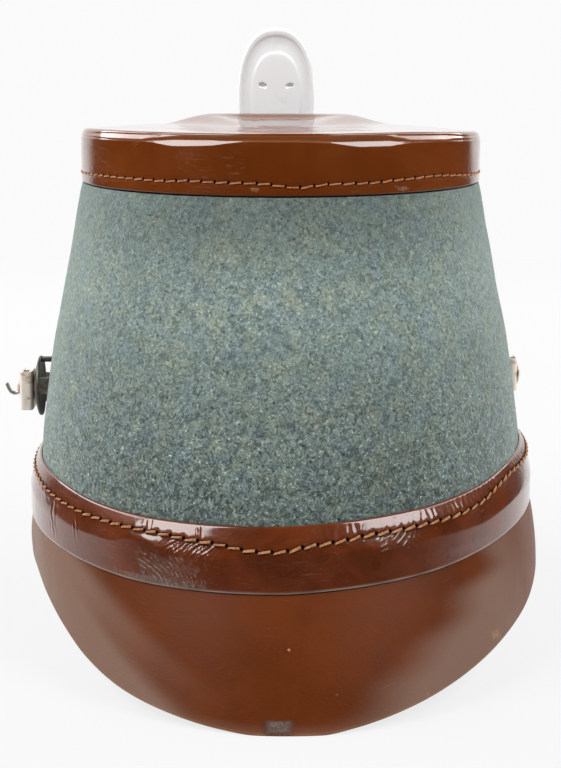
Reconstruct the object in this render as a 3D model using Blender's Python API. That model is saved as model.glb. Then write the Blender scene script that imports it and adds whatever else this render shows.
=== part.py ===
"""A military shako hat: a felt crown, a leather top, band and peaks, an oval badge and a chin strap.

Units: the tables and sizes below are millimetres, and Blender's are metres.
Hat axes: +X is the wearer's left, +Y the back of the head, +Z up. While it is modelled the hat's
middle plane is x = 0 and the table is z = 0; at the end one empty, the parent of every piece,
puts the origin under the middle of the whole hat.
Angles run round the hat from the back (0) over the wearer's left (90) to the front (180).
"""
from collections import namedtuple
from math import cos, pi, radians, sin

import bpy
import bmesh
from mathutils import Vector

MM = 0.001
GAP = 0.3                     # left between two pieces that touch on the real hat
STEP = 5                      # degrees between two columns of every piece that goes round the head

# ---- crown: the oval of the felt at each height ------------------------------------------------
Oval = namedtuple("Oval", "height half_width back front")
CROWN = [
    Oval(36.0, 88.3, 101.7, 102.2),
    Oval(60.0, 88.4, 101.6, 102.2),
    Oval(71.0, 87.8, 100.0, 101.4),
    Oval(84.0, 86.2, 96.9, 100.1),
    Oval(104.0, 83.3, 91.6, 97.2),
    Oval(124.0, 79.2, 85.9, 93.4),
    Oval(144.0, 75.2, 80.6, 89.2),
    Oval(158.0, 72.6, 77.6, 85.3),
    Oval(162.2, 71.6, 76.7, 83.6),
]
CROWN_RINGS = [84.0, 104.0, 124.0, 144.0, 157.5]     # heights of the crown's outer edges above the band
FELT_WALL = 2.6
CROWN_SHOULDER = 0.5          # below the leather top's edge: the felt steps in there to go up inside it
CROWN_TOP = 177.0
NECK_BEND = (0.1, 0.6)        # rise of the step's outer and inner corners
BASE_LIFT = 2.5               # the felt's lower edge above the band's

# ---- head band: its two edges and its bulge ----------------------------------------------------
BandRow = namedtuple("BandRow", "angle upper lower")
BAND_EDGES = [
    BandRow(0, 60.0, 38.8),
    BandRow(30, 61.0, 40.1),
    BandRow(45, 62.5, 41.9),
    BandRow(60, 65.0, 43.9),
    BandRow(90, 67.5, 46.5),
    BandRow(135, 71.5, 49.2),
    BandRow(180, 74.0, 51.0),
]
BAND_SKEW = 0.031             # the whole base sits lower on the wearer's left
BandProfile = namedtuple("BandProfile", "share inside outside")
BAND_PROFILE = [              # share of the band's height, and its two faces off the felt
    BandProfile(0.00, 2.4, 4.3),
    BandProfile(0.20, 2.4, 4.5),
    BandProfile(0.45, 2.4, 4.2),
    BandProfile(0.64, 1.5, 3.5),
    BandProfile(0.82, GAP, 2.6),
    BandProfile(0.94, GAP, 1.7),
    BandProfile(1.00, GAP, 1.0),
]

# ---- peaks: the height of the free edge, round each one ----------------------------------------
PeakRow = namedtuple("PeakRow", "angle left right")
BACK_PEAK = [                 # angle from its middle, and the edge's height on the wearer's left and right
    PeakRow(0, 0.0, 0.0),
    PeakRow(5, 0.0, 0.0),
    PeakRow(10, 0.8, 1.2),
    PeakRow(20, 3.3, 4.5),
    PeakRow(30, 6.5, 8.3),
    PeakRow(40, 11.3, 12.3),
    PeakRow(50, 17.4, 16.2),
    PeakRow(60, 23.2, 19.6),
    PeakRow(70, 28.0, 23.0),
    PeakRow(80, 29.5, 25.5),
    PeakRow(90, 33.0, 31.0),
    PeakRow(95, 38.0, 40.0),
]
FRONT_PEAK = [
    PeakRow(0, 0.0, 0.0),
    PeakRow(5, 0.0, 0.0),
    PeakRow(10, 0.9, 0.9),
    PeakRow(20, 3.8, 3.8),
    PeakRow(30, 8.6, 8.6),
    PeakRow(45, 18.0, 18.0),
    PeakRow(60, 28.5, 28.5),
    PeakRow(70, 34.0, 36.0),
    PeakRow(80, 39.5, 44.0),
]
BACK_SLOPE = 61.7             # fall of each peak at its middle, degrees below level
FRONT_SLOPE = 58.0
LEFT_SIDE_SLOPE = 88.0        # and at the sides of the head
RIGHT_SIDE_SLOPE = 83.0
PEAK_WALL = 1.8
PEAK_BULGE = 1.0              # how far a peak's face stands out from a straight fall
COLLAR_HEIGHT = 8.0           # the part of a peak that is sewn in under the band
LIP_OFFSET = 3.9              # the peak's outer face off the felt, just under the band's lower edge
LIP_DROP = 1.2
UNDER_BEND = (0.6, 1.5)       # the inside of that bend: below the lip, and off the felt
INNER_BEND = 1.0              # and above the band's edge, where the collar begins
FACE_SHARES = (0.0, 0.35, 0.7, 1.0)                  # rows of points down a peak's face
FULL_BULGE_LENGTH = 30.0      # a shorter peak bulges less

# ---- leather top -------------------------------------------------------------------------------
TOP_WALL = 1.9
TOP_OVAL = Oval(162.7, 71.9, 77.0, 83.0)
TOP_DIP = 0.0125              # its lower edge falls towards the back
RIM_SAG = 1.3                 # the rim has sunk a little on the wearer's right,
SAG_START = 30.0              # from here out
RIM_INNER = ((0.0, -1.0), (2.0, 0.0))                # inside of the rim: inset off the wall's face, and rise
TopRow = namedtuple("TopRow", "inset height")
TOP_FACE = [                  # inwards from the side wall, and up
    TopRow(0.0, 162.7),
    TopRow(0.0, 177.9),
    TopRow(0.8, 180.2),
    TopRow(2.8, 181.6),
    TopRow(6.5, 181.6),
    TopRow(9.0, 181.5),
    TopRow(12.0, 181.4),
    TopRow(30.0, 181.4),
    TopRow(54.0, 181.6),
]
TOP_MIDDLE = 181.7
FRONT_RISE = 2.7              # the rim stands up in front, behind the badge,
FRONT_RISE_SPAN = (24.0, 40.0)                       # between these angles from the front it falls away,
FRONT_RISE_INSET = (6.5, 12.0)                       # and between these insets from the wall

# ---- oval badge --------------------------------------------------------------------------------
BADGE_HALF_WIDTH = 15.7
BADGE_HALF_HEIGHT = 28.3
BADGE_CENTRE_HEIGHT = 190.2
BADGE_BACK = -85.0            # y of its back
BADGE_POWER = 2.35            # fullness of its outline: 2 is an ellipse
BADGE_SIDES = 36
BadgeRow = namedtuple("BadgeRow", "share depth")
BADGE_BACK_FACE = [           # share of the outline, and depth forwards from the back
    BadgeRow(0.64, 0.1),
    BadgeRow(0.72, 0.9),
    BadgeRow(0.86, 0.9),
    BadgeRow(0.93, 0.1),
    BadgeRow(1.00, 0.7),
]
BADGE_FRONT_FACE = [
    BadgeRow(1.00, 2.3),
    BadgeRow(0.90, 3.6),
    BadgeRow(0.60, 5.0),
]
BADGE_THICKNESS = 5.6
SLOT_SPREAD = 11.0            # between the middles of the two slots in its back
SLOT_HEIGHT = 195.5
SLOT_SIZE = (3.8, 1.2, 1.4)   # across, deep, high
PIN_RADIUS = 1.5
PIN_HEIGHT = 172.0
PIN_START = -87.0             # inside the badge
PIN_END = -75.5
PIN_HOLE_END = -73.5

# ---- side posts, disc, lugs and chin strap -----------------------------------------------------
POST_Y = -12.0
POST_RADIUS = 2.2
POST_SIDES = 12
LEFT_POST_HEIGHT = 83.9
RIGHT_POST_HEIGHT = 88.3
PostRow = namedtuple("PostRow", "reach radius")
LEFT_POST = [                 # distance out from the middle plane, and radius
    PostRow(80.5, 4.0), PostRow(81.5, 4.0), PostRow(81.5, POST_RADIUS), PostRow(86.6, POST_RADIUS),
    PostRow(86.6, 3.2), PostRow(91.4, 3.2), PostRow(91.4, POST_RADIUS), PostRow(98.6, POST_RADIUS),
    PostRow(98.6, 3.4), PostRow(99.4, 3.0),
]
RIGHT_POST = [
    PostRow(79.9, 4.0), PostRow(80.9, 4.0), PostRow(80.9, POST_RADIUS), PostRow(90.2, POST_RADIUS),
    PostRow(90.2, 4.2), PostRow(90.8, 3.8), PostRow(91.2, 2.4),
]
HOOK_RADIUS = 0.75
HOOK_SIDES = 6
HookPoint = namedtuple("HookPoint", "reach rise")
HOOK = [                      # from the post's outer end; rise is off the post's own height
    HookPoint(98.9, -2.2), HookPoint(100.5, -2.9), HookPoint(101.9, -2.4),
    HookPoint(102.9, -0.9), HookPoint(103.6, 1.1),
]
DISC_RADIUS = 11.3
DISC_WALL = 1.1
DISC_REACH = 91.9             # of its inner face, at the post
DISC_DISH = 2.0               # how far its rim comes back towards the felt
DISC_SIDES = 28
DISC_SHARES = (0.0, 0.35, 0.7, 1.0)                  # its rings, from the hole to the rim
TAB_HEIGHT = 2.0
TAB_INSET = (0.6, 0.3)        # how far it runs into the disc, and its top below the disc's
TAB_HALF_WIDTH = 1.6
TAB_REACH = 84.8              # where the tab on its rim meets the felt

Lug = namedtuple("Lug", "inner slot_inner slot_outer outer half_height drop")
LEFT_LUG = Lug(93.3, 94.6, 97.0, 98.3, 7.3, 1.3)
RIGHT_LUG = Lug(86.7, 87.2, 89.5, 89.9, 6.2, 0.2)
LUG_BACK = POST_Y + 5.0
LUG_SLOT_BACK = POST_Y + 3.9
LUG_FRONT = POST_Y - 5.0
STRAP_WIDTH = 12.0
STRAP_WALL = 1.5
STRAP_FRONT = 107.8           # its middle surface in front of the hat's centre
STRAP_FRONT_HEIGHT = 62.0
STRAP_END = POST_Y + 3.4      # y of its two ends, inside the lugs
STRAP_POWER = 2.15            # fullness of its curve: 2 is an ellipse
STRAP_COLUMNS = 44
HOLE_CLEARANCE = 0.3
HOLE_REACH = (70.0, 110.0)    # a post hole's cutter, out from the middle plane
SHARP_ANGLE = 35.0            # edges that turn more than this stay sharp, degrees


# ---- small helpers -----------------------------------------------------------------------------
def blend_rows(rows, key, field, at):
    """Value of one column of a table, smoothly between its rows (a cubic through the neighbours)."""
    xs = [getattr(row, key) for row in rows]
    ys = [getattr(row, field) for row in rows]
    if at <= xs[0]:
        return ys[0]
    if at >= xs[-1]:
        return ys[-1]
    i = max(k for k in range(len(xs) - 1) if xs[k] <= at)
    slopes = [(ys[k + 1] - ys[k]) / (xs[k + 1] - xs[k]) for k in range(len(xs) - 1)]

    def tangent(k):
        if k == 0:
            return slopes[0]
        if k == len(xs) - 1:
            return slopes[-1]
        if slopes[k - 1] * slopes[k] <= 0:
            return 0.0
        return 2 * slopes[k - 1] * slopes[k] / (slopes[k - 1] + slopes[k])

    width = xs[i + 1] - xs[i]
    t = (at - xs[i]) / width
    a, b = tangent(i) * width, tangent(i + 1) * width
    return ((2 * t ** 3 - 3 * t ** 2 + 1) * ys[i] + (t ** 3 - 2 * t ** 2 + t) * a
            + (3 * t ** 2 - 2 * t ** 3) * ys[i + 1] + (t ** 3 - t ** 2) * b)


def oval_point(angle, half_width, back, front, offset=0.0):
    """Point of an oval in plan, moved outwards by offset along its normal, and that normal."""
    a = radians(angle)
    reach = back if cos(a) >= 0 else front
    normal = Vector((sin(a) / half_width, cos(a) / reach, 0)).normalized()
    return Vector((half_width * sin(a), reach * cos(a), 0)) + normal * offset, normal


def crown_point(angle, height, offset=0.0):
    """Point on the felt's outer face, or offset from it, and the outward direction there."""
    sizes = [blend_rows(CROWN, "height", field, height) for field in ("half_width", "back", "front")]
    point, normal = oval_point(angle, *sizes, offset)
    point.z = height
    return point, normal


def fade(value, start, end):
    """1 up to start, 0 from end on, and a soft step between."""
    t = min(1, max(0, (value - start) / (end - start)))
    return 1 - t * t * (3 - 2 * t)


def from_back(angle):
    """Angle from the back, 0 to 180, on either side."""
    return abs((angle + 180) % 360 - 180)


def top_edge(point):
    """Height of the leather top's lower edge at a plan point."""
    return TOP_OVAL.height - TOP_DIP * point.y


def band_edge(angle, field):
    """Height of the band's upper or lower edge."""
    height = blend_rows(BAND_EDGES, "angle", field, from_back(angle))
    return height - BAND_SKEW * CROWN[1].half_width * sin(radians(angle))


def add_object(name, mesh_builder, look):
    """A bmesh in millimetres made into a named object in metres; a guide has no look."""
    mesh = bpy.data.meshes.new(name)
    bmesh.ops.recalc_face_normals(mesh_builder, faces=mesh_builder.faces)
    bmesh.ops.scale(mesh_builder, vec=(MM, MM, MM), verts=mesh_builder.verts)
    mesh_builder.to_mesh(mesh)
    mesh_builder.free()
    mesh.shade_smooth()
    mesh.set_sharp_from_angle(angle=radians(SHARP_ANGLE))
    thing = bpy.data.objects.new(name, mesh)
    bpy.context.scene.collection.objects.link(thing)
    if look is not None:
        mesh.materials.append(look)
    thing.parent = stand
    return thing


def skin(name, sections, look, closed):
    """A solid through cross-sections of equal point count; closed joins the last to the first."""
    bm = bmesh.new()
    loops = [[bm.verts.new(p) for p in section] for section in sections]
    count = len(loops[0])
    for i in range(len(loops) if closed else len(loops) - 1):
        here, there = loops[i], loops[(i + 1) % len(loops)]
        for k in range(count):
            bm.faces.new((here[k], here[(k + 1) % count], there[(k + 1) % count], there[k]))
    if not closed:
        bm.faces.new(loops[0])
        bm.faces.new(loops[-1])
    return add_object(name, bm, look)


def lidded(name, rings, first, last, look):
    """A solid through rings, closed by a point at each end."""
    bm = bmesh.new()
    loops = [[bm.verts.new(p) for p in ring] for ring in rings]
    count = len(loops[0])
    for here, there in zip(loops, loops[1:]):
        for k in range(count):
            bm.faces.new((here[k], here[(k + 1) % count], there[(k + 1) % count], there[k]))
    for loop, tip in ((loops[0], first), (loops[-1], last)):
        point = bm.verts.new(tip)
        for k in range(count):
            bm.faces.new((loop[k], loop[(k + 1) % count], point))
    return add_object(name, bm, look)


def box(name, low, high):
    """A plain box between two corners, for a guide."""
    bm = bmesh.new()
    bmesh.ops.create_cube(bm, size=1.0)
    size = [b - a for a, b in zip(low, high)]
    middle = [(a + b) / 2 for a, b in zip(low, high)]
    bmesh.ops.scale(bm, vec=size, verts=bm.verts)
    bmesh.ops.translate(bm, vec=middle, verts=bm.verts)
    return add_object(name, bm, None)


def rod(name, start, end, radius):
    """A plain round rod along X or Y, for a guide."""
    axis = (Vector(end) - Vector(start)).normalized()
    across = axis.cross(Vector((0, 0, 1))).normalized()
    up = across.cross(axis)
    rings = []
    for middle in (Vector(start), Vector(end)):
        turn = [2 * pi * (k + 0.5) / POST_SIDES for k in range(POST_SIDES)]
        rings.append([middle + across * radius * cos(t) + up * radius * sin(t) for t in turn])
    return skin(name, rings, None, closed=False)


def combine(thing, tool, operation):
    """Cut or join a tool into a piece; the tool itself is only a guide."""
    tool.hide_render = True
    tool.display_type = "WIRE"
    change = thing.modifiers.new(operation.title(), "BOOLEAN")
    change.operation = operation
    change.solver = "EXACT"
    change.object = tool


def finish(name, colour, roughness, metallic=0.0):
    """A material with a plain finish."""
    look = bpy.data.materials.new(name)
    look.use_nodes = True
    shader = look.node_tree.nodes["Principled BSDF"]
    shader.inputs["Base Color"].default_value = (*colour, 1.0)
    shader.inputs["Roughness"].default_value = roughness
    shader.inputs["Metallic"].default_value = metallic
    return look


# ---- the pieces --------------------------------------------------------------------------------
ROUND = range(0, 360, STEP)


def inside_top(angle, offset):
    """Plan point inside the leather top's side wall, offset from the wall's inner face."""
    return oval_point(angle, *TOP_OVAL[1:], -TOP_WALL + offset)[0]


def make_crown(look):
    """The felt body: an open tube that narrows upwards and steps in under the leather top."""
    sections = []
    for angle in ROUND:
        foot = band_edge(angle, "lower") + BASE_LIFT
        line = band_edge(angle, "upper")
        neck = inside_top(angle, -GAP)
        neck_inner = inside_top(angle, -GAP - FELT_WALL)
        shoulder = top_edge(neck) - CROWN_SHOULDER
        outer = [crown_point(angle, z)[0] for z in [foot, line, *CROWN_RINGS, shoulder]]
        inner = [crown_point(angle, z, -FELT_WALL)[0] for z in [CROWN_RINGS[-1], *CROWN_RINGS[-3::-2], line, foot]]
        upright = [Vector((p.x, p.y, z)) for p, z in (
            (neck, shoulder + NECK_BEND[0]), (neck, CROWN_TOP),
            (neck_inner, CROWN_TOP), (neck_inner, shoulder + NECK_BEND[1]))]
        sections.append(outer + upright + inner)
    return skin("crown", sections, look, closed=True)


def make_head_band(look):
    """The leather ring round the base: it hugs the felt above and bulges over the peaks below."""
    sections = []
    for angle in ROUND:
        low, high = band_edge(angle, "lower"), band_edge(angle, "upper")
        outside, inside = [], []
        for row in BAND_PROFILE:
            height = low + row.share * (high - low)
            outside.append(crown_point(angle, height, row.outside)[0])
            inside.append(crown_point(angle, height, row.inside)[0])
        sections.append(outside + inside[::-1])
    return skin("head_band", sections, look, closed=True)


def peak_slope(angle, turned, middle_slope):
    """Fall of a peak, degrees, at an angle round the hat and that angle from the peak's middle."""
    side = LEFT_SIDE_SLOPE if sin(radians(angle)) > 0 else RIGHT_SIDE_SLOPE
    return side - (side - middle_slope) * cos(radians(turned)) ** 2


def make_peak(name, middle, edge_rows, middle_slope, look):
    """A peak with a collar that goes up between the felt and the band."""
    end = edge_rows[-1].angle
    sections = []
    for turned in range(-end, end + STEP, STEP):
        angle = middle + turned
        root = band_edge(angle, "lower")
        slope = radians(peak_slope(angle, turned, middle_slope))
        side = "left" if sin(radians(angle)) > 0 else "right"
        edge = blend_rows(edge_rows, "angle", side, abs(turned))
        collar_top = [crown_point(angle, root + COLLAR_HEIGHT, off)[0] for off in (GAP, GAP + PEAK_WALL)]
        bend = crown_point(angle, root - GAP, GAP + PEAK_WALL)[0]
        start, normal = crown_point(angle, root - LIP_DROP, LIP_OFFSET)
        down = normal * cos(slope) + Vector((0, 0, -sin(slope)))
        proud = normal * sin(slope) + Vector((0, 0, cos(slope)))
        length = (start.z - edge) / sin(slope)
        bulge = PEAK_BULGE * min(1, length / FULL_BULGE_LENGTH)
        face = [start + down * length * t + proud * bulge * sin(pi * t) for t in FACE_SHARES]
        back = [p - proud * PEAK_WALL for p in face[1:3]]
        back.append(face[-1] - normal * PEAK_WALL / sin(slope))
        under_bend = crown_point(angle, root - LIP_DROP - UNDER_BEND[0], UNDER_BEND[1])[0]
        bend_inner = crown_point(angle, root + INNER_BEND, GAP)[0]
        sections.append([*collar_top, bend, *face, *back[::-1], under_bend, bend_inner])
    return skin(name, sections, look, closed=False)


def make_top_cap(look):
    """The leather top: a turned-down wall, a rounded rim that stands up in front, and a level face."""
    def shaped(point, angle, inset, height):
        sunk = min(1, max(0, (-point.x - SAG_START) / (TOP_OVAL.half_width - SAG_START)))
        risen = fade(abs(angle - 180), *FRONT_RISE_SPAN) * fade(inset, *FRONT_RISE_INSET)
        return Vector((point.x, point.y, height - RIM_SAG * sunk ** 2 + FRONT_RISE * risen))

    def wall_ring(inset, height):
        points = [oval_point(angle, *TOP_OVAL[1:], -inset)[0] for angle in ROUND]
        if height < TOP_FACE[1].height:
            return [shaped(p, 0, inset, height) for p in points]
        return [shaped(p, angle, inset, height) for p, angle in zip(points, ROUND)]

    def edge_ring(inset):
        points = [oval_point(angle, *TOP_OVAL[1:], -inset)[0] for angle in ROUND]
        return [Vector((p.x, p.y, top_edge(p))) for p in points]

    def face_ring(row):
        share = 1 - row.inset / TOP_OVAL.half_width
        points = [oval_point(angle, *TOP_OVAL[1:])[0] * share for angle in ROUND]
        return [shaped(p, angle, row.inset, row.height) for p, angle in zip(points, ROUND)]

    rim = TOP_FACE[3].height - TOP_WALL
    outer = [edge_ring(0.0)] + [wall_ring(*row) for row in TOP_FACE[1:4]]
    outer += [face_ring(row) for row in TOP_FACE[4:]]
    inner = [edge_ring(TOP_WALL)] + [wall_ring(TOP_WALL + inset, rim + rise) for inset, rise in RIM_INNER]
    inner += [face_ring(TopRow(row.inset, row.height - TOP_WALL)) for row in TOP_FACE[4:]]
    top, bottom = Vector((0, 0, TOP_MIDDLE)), Vector((0, 0, TOP_MIDDLE - TOP_WALL))
    return lidded("top_cap", outer[::-1] + inner, top, bottom, look)


def badge_ring(share, y):
    """The badge's outline, drawn smaller by a share, at one depth."""
    points = []
    for k in range(BADGE_SIDES):
        t = 2 * pi * k / BADGE_SIDES
        across = abs(sin(t)) ** (2 / BADGE_POWER) * (1 if sin(t) >= 0 else -1)
        along = abs(cos(t)) ** (2 / BADGE_POWER) * (1 if cos(t) >= 0 else -1)
        points.append(Vector((share * BADGE_HALF_WIDTH * across, y,
                              BADGE_CENTRE_HEIGHT + share * BADGE_HALF_HEIGHT * along)))
    return points


def make_badge(look):
    """The oval badge: a ridged back with two slots, a domed front, and its pin through the hat's wall."""
    rings = [badge_ring(row.share, BADGE_BACK - row.depth) for row in BADGE_BACK_FACE + BADGE_FRONT_FACE]
    back = Vector((0, BADGE_BACK, BADGE_CENTRE_HEIGHT))
    front = Vector((0, BADGE_BACK - BADGE_THICKNESS, BADGE_CENTRE_HEIGHT))
    badge = lidded("oval_badge", rings, back, front, look)
    pin = rod("badge_pin_guide", (0, PIN_START, PIN_HEIGHT), (0, PIN_END, PIN_HEIGHT), PIN_RADIUS)
    combine(badge, pin, "UNION")
    for side in (-1, 1):
        x = side * SLOT_SPREAD / 2
        across, deep, high = SLOT_SIZE
        slot = box("badge_slot_guide", (x - across / 2, BADGE_BACK - deep, SLOT_HEIGHT - high / 2),
                   (x + across / 2, BADGE_BACK + deep, SLOT_HEIGHT + high / 2))
        combine(badge, slot, "DIFFERENCE")
    return badge


def post_rings(side, height, rows):
    """Rings of a turned post whose axis runs along X."""
    rings = []
    for row in rows:
        turn = [2 * pi * (k + 0.5) / POST_SIDES for k in range(POST_SIDES)]
        rings.append([Vector((side * row.reach, POST_Y + row.radius * cos(t), height + row.radius * sin(t)))
                      for t in turn])
    return rings


def make_post(name, side, height, rows, look):
    """A post riveted through the felt: an inner head, a shank, and an outer head."""
    tips = [Vector((side * row.reach, POST_Y, height)) for row in (rows[0], rows[-1])]
    return lidded(name, post_rings(side, height, rows), *tips, look)


def make_hook(post):
    """The small hook on the left post's outer end."""
    sections = []
    points = [Vector((p.reach, POST_Y, LEFT_POST_HEIGHT + p.rise)) for p in HOOK]
    for i, point in enumerate(points):
        along = (points[min(i + 1, len(points) - 1)] - points[max(i - 1, 0)]).normalized()
        up = Vector((0, 1, 0)).cross(along)
        turn = [2 * pi * k / HOOK_SIDES for k in range(HOOK_SIDES)]
        sections.append([point + Vector((0, 1, 0)) * HOOK_RADIUS * cos(t) + up * HOOK_RADIUS * sin(t)
                         for t in turn])
    combine(post, skin("hook_guide", sections, None, closed=False), "UNION")


def make_side_disc(look):
    """The dished disc behind the left lug, with a tab on its upper rim that reaches the felt."""
    hole = POST_RADIUS + HOLE_CLEARANCE
    sections = []
    for k in range(DISC_SIDES):
        t = 2 * pi * k / DISC_SIDES
        inner, outer = [], []
        for share in DISC_SHARES:
            radius = hole + share * (DISC_RADIUS - hole)
            reach = DISC_REACH - DISC_DISH * (radius / DISC_RADIUS) ** 2
            spot = Vector((reach, POST_Y + radius * cos(t), LEFT_POST_HEIGHT + radius * sin(t)))
            inner.append(spot)
            outer.append(spot + Vector((DISC_WALL, 0, 0)))
        sections.append(inner + outer[::-1])
    disc = skin("side_disc", sections, look, closed=True)
    rim = DISC_REACH - DISC_DISH
    top = LEFT_POST_HEIGHT + DISC_RADIUS
    tab = box("disc_tab_guide", (TAB_REACH, POST_Y - TAB_HALF_WIDTH, top - TAB_HEIGHT),
              (rim + TAB_INSET[0], POST_Y + TAB_HALF_WIDTH, top - TAB_INSET[1]))
    combine(disc, tab, "UNION")
    return disc


def make_lug(name, side, lug, height, look):
    """The metal fold on a strap end: open to the front, with a hole for the post."""
    plan = [(lug.inner, LUG_FRONT), (lug.slot_inner, LUG_FRONT), (lug.slot_inner, LUG_SLOT_BACK),
            (lug.slot_outer, LUG_SLOT_BACK), (lug.slot_outer, LUG_FRONT), (lug.outer, LUG_FRONT),
            (lug.outer, LUG_BACK), (lug.inner, LUG_BACK)]
    sections = [[Vector((side * x, y, height - lug.drop + rise)) for x, y in plan]
                for rise in (-lug.half_height, lug.half_height)]
    fold = skin(name, sections, look, closed=False)
    combine(fold, post_hole(side, height), "DIFFERENCE")
    return fold


def post_hole(side, height):
    """A cutter for the hole that a post passes through."""
    radius = POST_RADIUS + HOLE_CLEARANCE
    start, end = [(side * reach, POST_Y, height) for reach in HOLE_REACH]
    return rod("post_hole_guide", start, end, radius)


def strap_point(share):
    """Middle of the strap at a share of its way round the front, from the left end to the right."""
    turned = radians(90 - 180 * share)
    side = LEFT_LUG if turned >= 0 else RIGHT_LUG
    half_width = (side.slot_inner + side.slot_outer) / 2
    post_height = LEFT_POST_HEIGHT if turned >= 0 else RIGHT_POST_HEIGHT
    x = half_width * abs(sin(turned)) ** (2 / STRAP_POWER) * (1 if turned >= 0 else -1)
    y = POST_Y - (STRAP_FRONT + POST_Y) * cos(turned) ** (2 / STRAP_POWER)
    z = STRAP_FRONT_HEIGHT + (post_height - STRAP_FRONT_HEIGHT) * (1 - cos(turned))
    return Vector((x, y, z))


def make_chin_strap(look):
    """The leather strap, worn up: from post to post round the front, over the band."""
    points = [strap_point(k / STRAP_COLUMNS) for k in range(STRAP_COLUMNS + 1)]
    points.insert(0, Vector((points[0].x, STRAP_END, points[0].z)))
    points.append(Vector((points[-1].x, STRAP_END, points[-1].z)))
    sections = []
    for i, point in enumerate(points):
        along = points[min(i + 1, len(points) - 1)] - points[max(i - 1, 0)]
        out = Vector((along.y, -along.x, 0)).normalized() * STRAP_WALL / 2
        if i in (0, len(points) - 1):      # the ends lie square in the lugs
            out = Vector((STRAP_WALL / 2, 0, 0))
        if out.dot(Vector((point.x, point.y, 0))) < 0:
            out.negate()
        up = Vector((0, 0, STRAP_WIDTH / 2))
        sections.append([point - out - up, point + out - up, point + out + up, point - out + up])
    strap = skin("chin_strap", sections, look, closed=False)
    for side, height in ((1, LEFT_POST_HEIGHT), (-1, RIGHT_POST_HEIGHT)):
        combine(strap, post_hole(side, height), "DIFFERENCE")
    length = sum((b - a).length for a, b in zip(points, points[1:]))
    print(f"chin strap: {length:.0f} mm long")
    return strap


def set_on_origin():
    """Move the whole hat so that the origin lies under the middle of its box."""
    bpy.context.view_layer.update()
    evaluated = bpy.context.evaluated_depsgraph_get()
    corners = []
    for thing in stand.children:
        if not thing.hide_render:
            mesh = thing.evaluated_get(evaluated).to_mesh()
            corners += [vertex.co.copy() for vertex in mesh.vertices]
    low = [min(c[i] for c in corners) for i in range(3)]
    high = [max(c[i] for c in corners) for i in range(3)]
    stand.location = (-(low[0] + high[0]) / 2, -(low[1] + high[1]) / 2, -low[2])
    print("size mm:", [round((b - a) / MM, 2) for a, b in zip(low, high)])
    print("moved mm:", [round(v / MM, 3) for v in stand.location])


for old in list(bpy.data.objects):
    bpy.data.objects.remove(old)
stand = bpy.data.objects.new("stand", None)
bpy.context.scene.collection.objects.link(stand)

felt = finish("grey_green_felt", (0.19, 0.23, 0.215), 0.95)
top_leather = finish("brown_top_leather", (0.14, 0.036, 0.010), 0.18)
band_leather = finish("dark_band_leather", (0.09, 0.023, 0.010), 0.16)
peak_leather = finish("brown_peak_leather", (0.16, 0.045, 0.013), 0.28)
strap_leather = finish("strap_leather", (0.10, 0.035, 0.014), 0.45)
badge_metal = finish("pale_badge_metal", (0.72, 0.72, 0.70), 0.40, 0.6)
dark_metal = finish("dark_metal", (0.09, 0.085, 0.075), 0.45, 0.8)
pale_brass = finish("pale_brass", (0.70, 0.62, 0.48), 0.35, 1.0)

crown = make_crown(felt)
top_cap = make_top_cap(top_leather)
make_head_band(band_leather)
make_peak("back_peak", 0, BACK_PEAK, BACK_SLOPE, peak_leather)
make_peak("front_peak", 180, FRONT_PEAK, FRONT_SLOPE, peak_leather)
make_badge(badge_metal)
left_post = make_post("left_post", 1, LEFT_POST_HEIGHT, LEFT_POST, pale_brass)
make_hook(left_post)
make_post("right_post", -1, RIGHT_POST_HEIGHT, RIGHT_POST, pale_brass)
make_side_disc(dark_metal)
make_lug("left_lug", 1, LEFT_LUG, LEFT_POST_HEIGHT, pale_brass)
make_lug("right_lug", -1, RIGHT_LUG, RIGHT_POST_HEIGHT, pale_brass)
make_chin_strap(strap_leather)

for hole_side, hole_height in ((1, LEFT_POST_HEIGHT), (-1, RIGHT_POST_HEIGHT)):
    combine(crown, post_hole(hole_side, hole_height), "DIFFERENCE")
for wall in (crown, top_cap):
    pin_hole = rod("pin_hole_guide", (0, BADGE_BACK, PIN_HEIGHT), (0, PIN_HOLE_END, PIN_HEIGHT),
                   PIN_RADIUS + HOLE_CLEARANCE)
    combine(wall, pin_hole, "DIFFERENCE")

set_on_origin()
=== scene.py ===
# %% [markdown]
# # A military shako hat, seen from behind
# The hat is a tube of wool felt with leather sewn on above and below it. This notebook dresses the
# CAD model of that hat: each solid is replaced by a finer mesh of the same shape, with the grain,
# stitches, scuffs and folds of the real thing. The hat has no joints, so every piece rides on "root".

# %% Load the frame
import bpy
import bmesh
import numpy as np
from mathutils import Matrix, Vector


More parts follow.
